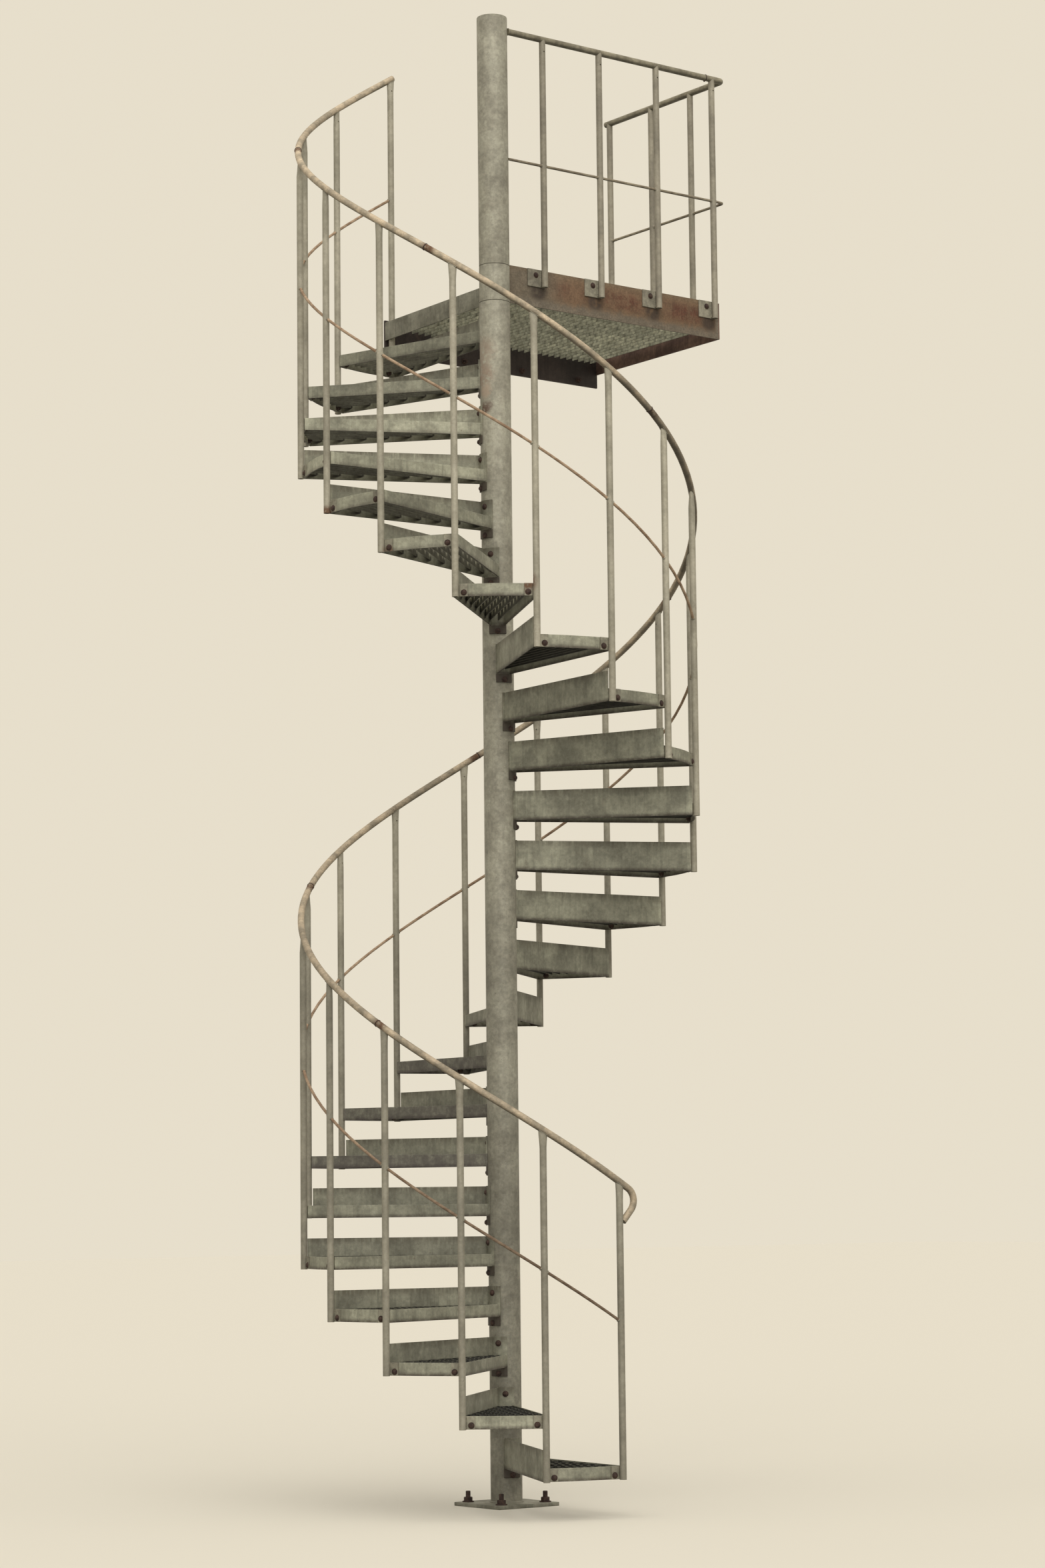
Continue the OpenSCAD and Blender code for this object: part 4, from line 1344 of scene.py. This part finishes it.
def tab_shape(side):
    """Tab that reaches to one side of a baluster, with its top at height 0 and its welds."""
    bm = bmesh.new()
    start, end = sorted((0.0, side * TAB_ANGLE))
    bent_bar(bm, TAB_R, TAB_T, -PLATE_H, 0, start, end, TAB_STEPS, TAB_EDGE)
    for radius, off in ((TAB_R + TAB_T + BEAD_PROUD, TUBE_R), (TAB_R - 0.0002, 0.006)):
        foot = Vector((radius, side * (off + BEAD_PROUD), 0.003 - PLATE_H))
        weld_seam(bm, foot, foot + Vector((0, 0, PLATE_H - 0.006)), TAB_BEAD)
    return bm


upper_tab = pattern("upper_tab", tab_shape(-1))
lower_tab = pattern("lower_tab", tab_shape(1))
print("a tab reaches", round(TAB_ANGLE * RAIL_R, 3), "m")

# %% Tabs and their bolts
BOLT_OUT = 0.032
BOLT_DROP = 0.035
first_post = polar(RAIL_R, FIRST_ANGLE)

tabs, bolts = bmesh.new(), bmesh.new()
for step in range(TREAD_COUNT + 1):
    for side, tab, height in ((1, lower_tab, tread_z(step + 1)), (-1, upper_tab, tread_z(step))):
        if (side, step) in ((1, TREAD_COUNT), (-1, 0)):
            continue
        stamp(tabs, tab, turned(baluster_angle(step), height))
        turn = turned(baluster_angle(step) + side * BOLT_OUT / RAIL_R, height - BOLT_DROP)
        stamp(bolts, domed_bolt, turn @ line_place((TAB_R + TAB_T, 0, 0), (1, 0, 0)))
        stamp(bolts, tab_nut, turn @ line_place((END_R - PLATE_T, 0, 0), (-1, 0, 0)))
flat_bar(tabs, (first_post.x - TAB_T / 2, first_post.y + TUBE_R - 0.001, LANDING_Z - PLATE_H),
         (first_post.x + TAB_T / 2, 0.835, LANDING_Z))
make_piece("baluster_tabs", tabs, tab_zinc, "zinc_tube")
make_piece("tab_bolts", bolts, bolt_rust, "zinc_dark")

# %% [markdown]
# ## Handrail
# The handrail is one tube that climbs round the column like a coil, welded together from lengths and
# bent down at its lower end. It could be a curve with a bevel, but a disc spun round the column while it
# sinks a little at every step makes the same coil, with rings that stand square to the tube. The bend
# at the end is a second spin, about a level axis, and the mouth's rim is made last.

# %% Helpers for coiled rails
def coil_place(step, height):
    """Place of a ring on the coil: its Z axis runs down along the rail."""
    tilt = Matrix.Rotation(-(QUARTER_TURN + PITCH_ANGLE), 4, "X")
    return turned(baluster_angle(step), tread_z(step) + height) @ Matrix.Translation((RAIL_R, 0, 0)) @ tilt


def coil(bm, first, last, height, radius, sides, rings_per_step):
    """Round bar along the coil; returns its first and its last face."""
    rings = max(2, round((last - first) * rings_per_step))
    start = disc(bm, radius, sides, coil_place(first, height))
    end = swung(bm, start, (0, 0, 0), (0, 0, 1), STEP_ANGLE * (last - first), rings,
                (0, 0, -RISE * (last - first) / rings))
    return start, end


print("the handrail starts near", tuple(round(value, 3) for value in on_coil(0, HANDRAIL_H)))

# %% Lower end of the handrail
END_BEND_R = 0.055
END_BEND_ANGLE = math.radians(100)
END_BEND_STEPS = 12
END_STRAIGHT = 0.058
END_DEPTH = 0.035


def bend_down(bm, face, step):
    """Bend the end of the handrail down and inset its mouth."""
    place = coil_place(step, HANDRAIL_H)
    turn = place.to_3x3()
    down = turn @ Vector((0, 1, 0))
    down = -down if down.z > 0 else down
    outwards = polar(1.0, baluster_angle(step))
    face = swung(bm, face, place.translation + down * END_BEND_R, outwards, -END_BEND_ANGLE, END_BEND_STEPS)
    heading = Matrix.Rotation(-END_BEND_ANGLE, 3, outwards) @ (turn @ Vector((0, 0, 1)))
    face = pushed(bm, face, heading * END_STRAIGHT)
    inset_end(bm, face, -heading, END_DEPTH)


print("the end bends by", round(math.degrees(END_BEND_ANGLE)), "degrees")

# %% Handrail in four lengths
RAIL_START = -0.012 / PITCH_RUN
RAIL_END = TREAD_COUNT + 0.042 / PITCH_RUN
RAIL_RINGS = 7

limits = (RAIL_START, *RAIL_JOINTS, RAIL_END)
for number, (first, last) in enumerate(zip(limits, limits[1:]), 1):
    bm = bmesh.new()
    start, end = coil(bm, first, last, HANDRAIL_H, TUBE_R, TUBE_SIDES, RAIL_RINGS)
    if first == RAIL_START:
        inset_end(bm, start, coil_place(first, HANDRAIL_H).to_3x3() @ Vector((0, 0, 1)))
    if last == RAIL_END:
        bend_down(bm, end, last)
    make_piece(f"handrail_tube_{number}", bm, rail_zinc, "zinc_rail", f"handrail_{number}")

# %% [markdown]
# ## Welds of the handrail
# The lengths of the handrail are butted and welded, and each joint stands out as a thin dark ring. The
# rings are a piece of their own, because they are rustier than the tube.

# %% Welds of the handrail
RING_PROUD = 0.0002
RING_BEAD = 0.0020
RING_STEPS = 18

bm = bmesh.new()
for joint in (*RAIL_JOINTS, *BUTT_WELDS):
    weld_ring(bm, TUBE_R + RING_PROUD, RING_BEAD, coil_place(joint, HANDRAIL_H), RING_STEPS)
make_piece("handrail_welds", bm, bolt_rust, "zinc_rail")

# %% [markdown]
# ## Mid rail
# Halfway up, a thin rod follows the handrail and is welded to every baluster with a small bead on each
# side. It is made as the handrail is, with fewer sides, and the beads are rings stamped beside each
# baluster.

# %% Mid rail of the stair
ROD_RINGS = 5
BEAD_OFF = TUBE_R - 0.0008

bm = bmesh.new()
coil(bm, 0, TREAD_COUNT, MID_RAIL_H, ROD_R, ROD_SIDES, ROD_RINGS)
make_piece("mid_rail_rod", bm, rod_rust, "rusty_rod", "mid_rail")

bm = bmesh.new()
weld_ring(bm, ROD_R + 0.0003, 0.0030, steps=10)
rod_collar = pattern("rod_collar", bm)
sides = [(step, side) for step in range(TREAD_COUNT + 1) for side in (-1, 1)]
places = [coil_place(step + side * BEAD_OFF / PITCH_RUN, MID_RAIL_H) for step, side in sides[1:-1]]
make_piece("mid_rail_welds", stamped(rod_collar, places), tube_zinc, "zinc_tube")

# %% [markdown]
# ## Stained toe board
# The front plate of the landing is the rustiest part of the stair. Rust has bled over it between the
# post brackets, darkest halfway up, and the rain keeps a grey band clean along its lower edge. The brown
# could be painted by hand, but a few patches along the plate and a band across its height say the same
# in a handful of numbers, and noise breaks up their edges.

# %% Where the toe board is stained
FRONT_POSTS = (0.239, 0.544, 0.860, 1.176)
FRONT_Y = -0.016
FRESH_BROWN = rgb(0.150, 0.118, 0.078)
STAIN_BROWN = rgb(0.172, 0.106, 0.058)
STAIN_RED = rgb(0.104, 0.038, 0.021)
STAIN_OLIVE = rgb(0.160, 0.112, 0.064)
WASHED_GREY = rgb(0.188, 0.156, 0.112)
RUST_HEIGHT = 5.010
# Each patch has a middle and a reach along X, in metres, and a strength.
RUST_PATCHES = ((0.40, 0.16, 0.55), (0.66, 0.20, 0.95), (1.03, 0.17, 1.0))


def bled_rust(tree, place, along, upwards):
    """Socket that is 1 in the red patches, which lie in a band halfway up."""
    runs = noise(tree, stretched(tree, place, (60, 60, 9)), scale=1.0, detail=7, roughness=0.7)
    patchy = noise(tree, place, scale=13.0, detail=8, roughness=0.7)
    patches = 0.0
    for middle, reach, strength in RUST_PATCHES:
        patch = times(tree, within(tree, along, middle, reach), strength)
        patches = combined(tree, "MAXIMUM", patches, patch)
    return times(tree, within(tree, upwards, RUST_HEIGHT, 0.058), patches,
                 spread(tree, patchy, 0.40, 0.56, 0.30, 1.0), spread(tree, runs, 0.35, 0.60, 0.55, 1.0))


def bracket_shadows(tree, place, blots, tone):
    """Painted shadows below the brackets of the posts."""
    for x in FRONT_POSTS:
        bracket_shade = near_point(tree, place, (x - 0.020, FRONT_Y, 4.985), 0.060)
        tone = mixed(tree, times(tree, bracket_shade, spread(tree, blots, 0.34, 0.52), 0.85), tone, SHADE_BROWN)
    return tone


def washed_edges(tree, along, upwards, blots, tone):
    """Grey bands along the lower edge and at the far end, which the rain keeps clean."""
    wavy = combined(tree, "ADD", upwards, spread(tree, blots, 0.3, 0.7, -0.010, 0.010))
    tone = mixed(tree, spread(tree, wavy, 4.972, 4.932, 0.0, 0.85), tone, WASHED_GREY)
    return mixed(tree, spread(tree, along, 1.185, 1.205, 0.0, 0.8), tone, WASHED_GREY)


print("rust patches on the toe board:", len(RUST_PATCHES))

# %% Finish of the stained plate
stained_plate, tree, shader = new_finish("stained_plate")
place = object_place(tree)
axes = add_node(tree, "ShaderNodeSeparateXYZ", {0: place}).outputs
along, upwards = axes["X"], axes["Z"]
blots = noise(tree, place, scale=30.0, detail=9, roughness=0.72)
fine = noise(tree, place, scale=120.0, detail=6, roughness=0.7)
pits = noise(tree, place, scale=150.0, detail=2, roughness=0.5)

tone = mixed(tree, spread(tree, along, 0.20, 0.42), FRESH_BROWN, STAIN_BROWN)
tone = mixed(tree, bled_rust(tree, place, along, upwards), tone, STAIN_RED)
top_strip = times(tree, spread(tree, upwards, 5.055, 5.075), spread(tree, blots, 0.35, 0.60, 0.4, 1.0), 0.8)
tone = mixed(tree, top_strip, tone, STAIN_OLIVE)
tone = bracket_shadows(tree, place, blots, tone)
tone = washed_edges(tree, along, upwards, blots, tone)
tone = shaded(tree, tone, spread(tree, fine, 0.36, 0.64, 0.88, 1.12))
tone = shaded(tree, tone, spread(tree, blots, 0.36, 0.64, 0.84, 1.16))
tone = mixed(tree, spread(tree, pits, 0.66, 0.74, 0.0, 0.7), tone, SPECK_BROWN)
# Painted shade on faces that look down.
tone = mixed(tree, times(tree, facing_down(tree), 0.6), tone, UNDERSIDE_SHADE)
tree.links.new(tone, shader.inputs["Base Color"])
shader.inputs["Roughness"].default_value = 0.78
bump = add_node(tree, "ShaderNodeBump", {"Strength": 0.4, "Distance": 0.0012, "Height": blots})
tree.links.new(bump.outputs[0], shader.inputs["Normal"])
print("stained_plate has", len(tree.nodes), "nodes")

# %% [markdown]
# ## Landing plates
# Four plates frame the landing: the stained toe board in front, the side plate at its far end, the
# nosing beside the first tread and a thick plate behind, with four nuts. They are plain flat bars, so
# their finish and their rounded edges do all the work. The nosing runs slantwise, so it is made along
# the X axis and laid on its own line.

# %% Plates of the landing
LANDING_T = 0.006
LANDING_Y = 0.835
PLATE_REACH = 1.217
DROP_Z = 4.920
TOE_Z = 5.080
SIDE_X = PLATE_REACH - LANDING_T
FRONT_START = 0.0628
NOSING_REAR = Vector((0.038, LANDING_Y, 0))
NOSING_HUB = Vector((0.0057, 0.0645, 0))

toe_board = plate_shape((FRONT_START, FRONT_Y, DROP_Z), (SIDE_X, FRONT_Y + LANDING_T, TOE_Z))
weld_seam(toe_board, (FRONT_START + 0.0012, FRONT_Y - BEAD_PROUD, DROP_Z + 0.004),
          (FRONT_START + 0.0012, FRONT_Y - BEAD_PROUD, TOE_Z - 0.004), 0.0034)
make_piece("toe_board", toe_board, stained_plate, "zinc_plate", "landing_front_plate")

side_plate = plate_shape((SIDE_X, FRONT_Y, DROP_Z), (PLATE_REACH, LANDING_Y, TOE_Z))
make_piece("side_plate", side_plate, side_zinc, "zinc_plate", "landing_side_plate")

nosing_run = NOSING_HUB - NOSING_REAR
nosing = plate_shape((0, 0, DROP_Z), (nosing_run.length, PLATE_T, LANDING_Z),
                     along_line(NOSING_REAR, nosing_run.normalized()))
make_piece("nosing_plate", nosing, plate_zinc, "zinc_plate", "landing_nosing")

# %% Plate behind the landing
WALL_PLATE_T = 0.010
WALL_PLATE_LOW = 4.860
WALL_PLATE_HIGH = 5.010
WALL_NUT_Z = 4.884
WALL_NUTS = (0.145, 0.465, 0.785, 1.105)

wall_plate = plate_shape((NOSING_REAR.x, LANDING_Y, WALL_PLATE_LOW),
                         (PLATE_REACH, LANDING_Y + WALL_PLATE_T, WALL_PLATE_HIGH))
make_piece("wall_plate", wall_plate, dark_zinc, "zinc_dark", "landing_wall_plate")
places = [line_place((x, LANDING_Y, WALL_NUT_Z), (0, -1, 0)) for x in WALL_NUTS]
make_piece("wall_nuts", stamped(wall_nut, places), bolt_rust, "zinc_dark")

# %% [markdown]
# ## Landing grating
# The landing is filled with the same grating, laid with its bars from front to back. Each bar ends where
# it meets the column, the slanted nosing plate or the first baluster. A Boolean could trim a whole sheet
# of grating, but it would leave ragged faces, so the two ends of a bar are worked out before it is made.

# %% Where the bars of the landing end
GRATING_Z = LANDING_Z - GRATING_DROP
BALUSTER_ROOM = 0.0140
COLUMN_ROOM = 0.0650
COLUMN_FACE = 0.0641
NOSING_FACE = 0.0082
NOSING_SLOPE = 0.0419
FRONT_END = FRONT_Y + LANDING_T - 0.001
REAR_END = LANDING_Y + 0.0005


def nosing_face(y):
    """Where the inner face of the nosing plate is, that far back."""
    return NOSING_FACE + NOSING_SLOPE * y


def column_face(offset):
    """How far the column reaches at an offset from its axis."""
    return math.sqrt(max(COLUMN_FACE ** 2 - offset * offset, 0))


def bar_ends(x):
    """Front and rear end of the bar whose left side is at x."""
    low = column_face(x) if x < COLUMN_ROOM else FRONT_END
    high = first_post.y - BALUSTER_ROOM if x < first_post.x + BALUSTER_ROOM else REAR_END
    if x < nosing_face(high):
        high = (x - NOSING_FACE) / NOSING_SLOPE
    return low, high


def rod_begins(y):
    """Left end of the rod at y."""
    if y > first_post.y - BALUSTER_ROOM:
        return first_post.x + BALUSTER_ROOM
    return nosing_face(y) if y > COLUMN_ROOM else column_face(y)


print("beside the column a bar starts at", round(bar_ends(COLUMN_R / 2)[0], 3))

# %% Grating of the landing
LEFTMOST_BAR = 0.012
SHORTEST_BAR = 0.03
FIRST_ROD_Y = FRONT_Y + LANDING_T + ROD_PITCH / 2 + ROD_W / 2

bm = bmesh.new()
x = SIDE_X - BAR_PITCH
while x > LEFTMOST_BAR:
    low, high = bar_ends(x)
    if high - low > SHORTEST_BAR:
        flat_bar(bm, (x, low, GRATING_Z - BAR_H), (x + BAR_T, high, GRATING_Z), edge=GRATING_EDGE)
    x -= BAR_PITCH
y = FIRST_ROD_Y
while y < LANDING_Y - 0.01:
    rod_z = GRATING_Z - ROD_W / 2
    twisted_rod(bm, (rod_begins(y), y, rod_z), (SIDE_X + 0.001, y, rod_z))
    y += ROD_PITCH
count_rods(bm, Vector((0, FIRST_ROD_Y, 0)), Vector((0, 1, 0)))
make_piece("landing_filling", bm, deck_zinc, "zinc_grating", "landing_grating")

# %% [markdown]
# ## Landing guard
# Seven posts stand outside the toe boards on small bracket plates, each held by one bolt. They are plain
# tubes, open at the foot and cut to fit under the top rail, with a vent hole just below it. The posts at
# the side are the front ones turned by a quarter and mirrored, so that their brackets point forward.

# %% Patterns for posts and brackets
TOP_RAIL_Z = 6.072
BRACKET_Z = 5.005
BRACKET_T = 0.006
BRACKET_H = 0.075
BRACKET_REACH = 0.079
BRACKET_BEAD = 0.003
BRACKET_Y = TUBE_R - 0.0005
POST_TOP = TOP_RAIL_Z - BRACKET_Z

bm = bmesh.new()
ring = ring_on(bm, tube_foot(bm), POST_TOP - 0.0008)
bmesh.ops.edgeloop_fill(bm, edges=ring)
guard_post = pattern("guard_post", drained(bm, (0, -TUBE_R, POST_TOP - DRAIN_DROP), "X"))

bm = bmesh.new()
flat_bar(bm, (-BRACKET_REACH, BRACKET_Y, 0), (TUBE_R, BRACKET_Y + BRACKET_T, BRACKET_H), edge=PLATE_EDGE)
weld_seam(bm, (-TUBE_R * 0.92, TUBE_R - 0.002, 0.004), (-TUBE_R * 0.92, TUBE_R - 0.002, BRACKET_H - 0.003),
          BRACKET_BEAD)
post_bracket = pattern("post_bracket", bm)
print("a post is", round(POST_TOP, 3), "m high up to the rail")

# %% Posts and brackets
POST_OFF = BRACKET_T - 0.0005 + TUBE_R
FRONT_POST_Y = FRONT_Y - POST_OFF
SIDE_POST_X = PLATE_REACH + POST_OFF
SIDE_POSTS = (0.180, 0.451, 0.745)

side_turn = Matrix.Rotation(QUARTER_TURN, 4, "Z") @ Matrix.Scale(-1, 4, (1, 0, 0))
bolt_turn = line_place((-0.037, BRACKET_Y, BRACKET_H - 0.025), (0, -1, 0))
places = [Matrix.Translation((x, FRONT_POST_Y, BRACKET_Z)) for x in FRONT_POSTS]
places += [Matrix.Translation((SIDE_POST_X, y, BRACKET_Z)) @ side_turn for y in SIDE_POSTS]
bolt_places = [place @ bolt_turn for place in places]
make_piece("guard_posts", stamped(guard_post, places), post_zinc, "zinc_tube", "landing_posts")
make_piece("guard_brackets", stamped(post_bracket, places), bracket_zinc, "zinc_tube")
make_piece("bracket_bolts", stamped(domed_bolt, bolt_places), bolt_rust, "zinc_dark")

# %% [markdown]
# ## Rails of the landing
# The top rail starts at the column, runs along the front posts, turns the corner in one tight bend and
# ends just past the last side post. A butt weld with a small drip shows on it, left of the corner.
# The rod below it takes the same way, so one function makes both: a disc pushed along the front, swung
# round the corner and pushed along the side.

# %% Top rail and its weld
RAIL_LEFT = 0.0535
CORNER_STEPS = 8
TOP_RAIL_BEND = 0.016
TOP_JOINT_X = 1.140
DRIP_PROFILE = [(0, -0.004), (0.0028, -0.003), (0.0034, 0), (0.0026, 0.004), (0, 0.006)]


def cornered(bm, radius, sides, height, bend_r, end_y):
    """Round bar from the column along the front, round the corner and along the side."""
    corner = SIDE_POST_X - bend_r
    face = disc(bm, radius, sides, Matrix.Translation((RAIL_LEFT, FRONT_POST_Y, height)) @ ALONG_X)
    face = pushed(bm, face, (corner - RAIL_LEFT, 0, 0))
    face = swung(bm, face, (corner, FRONT_POST_Y + bend_r, height), (0, 0, 1), QUARTER_TURN, CORNER_STEPS)
    return pushed(bm, face, (0, end_y - FRONT_POST_Y - bend_r, 0))


def on_top_rail(x):
    """Place of a ring round the top rail, on its stretch along the front."""
    return Matrix.Translation((x, FRONT_POST_Y, TOP_RAIL_Z)) @ ALONG_X


bm = bmesh.new()
end = cornered(bm, TUBE_R, TUBE_SIDES, TOP_RAIL_Z, TOP_RAIL_BEND, SIDE_POSTS[-1] + 0.025)
inset_end(bm, end, (0, -1, 0))
weld_ring(bm, TUBE_R, 0.0022, on_top_rail(0.0560), RING_STEPS)
make_piece("guard_top_rail", bm, guard_rail_zinc, "zinc_rail", "landing_top_rail")

bm = bmesh.new()
lathe(bm, DRIP_PROFILE, 8)
bmesh.ops.translate(bm, verts=bm.verts, vec=(TOP_JOINT_X - 0.004, FRONT_POST_Y, TOP_RAIL_Z - TUBE_R - 0.002))
weld_ring(bm, TUBE_R + RING_PROUD, RING_BEAD, on_top_rail(TOP_JOINT_X), RING_STEPS)
make_piece("guard_rail_weld", bm, bolt_rust, "zinc_rail")

# %% [markdown]
# ## Rod of the landing
# The rod halfway up the guard passes through the posts and has a bead on each side of every post, except
# past the last one, where it ends. The beads are the collars of the mid rail, stamped again.

# %% Rod of the landing and its beads
GUARD_ROD_Z = 5.525
GUARD_ROD_BEND = 0.018

bm = bmesh.new()
cornered(bm, ROD_R, ROD_SIDES, GUARD_ROD_Z, GUARD_ROD_BEND, SIDE_POSTS[-1])
make_piece("guard_rod", bm, rod_zinc, "zinc_tube", "landing_mid_rail")

front_beads = [Matrix.Translation((x + side * BEAD_OFF, FRONT_POST_Y, GUARD_ROD_Z)) @ ALONG_X
               for x in FRONT_POSTS for side in (-1, 1)]
side_beads = [Matrix.Translation((SIDE_POST_X, y + side * BEAD_OFF, GUARD_ROD_Z)) @ ALONG_Y
              for y in SIDE_POSTS for side in (-1, 1)]
make_piece("guard_rod_welds", stamped(rod_collar, front_beads + side_beads[:-1]), post_zinc, "zinc_tube")

# %% [markdown]
# ## The end
# The last step measures the finished stair.

# %% Sizes of the finished model
print("pieces:", len(triangle_count), "triangles in all:", sum(triangle_count.values()))
print("largest piece:", max(triangle_count.items(), key=lambda item: item[1]))
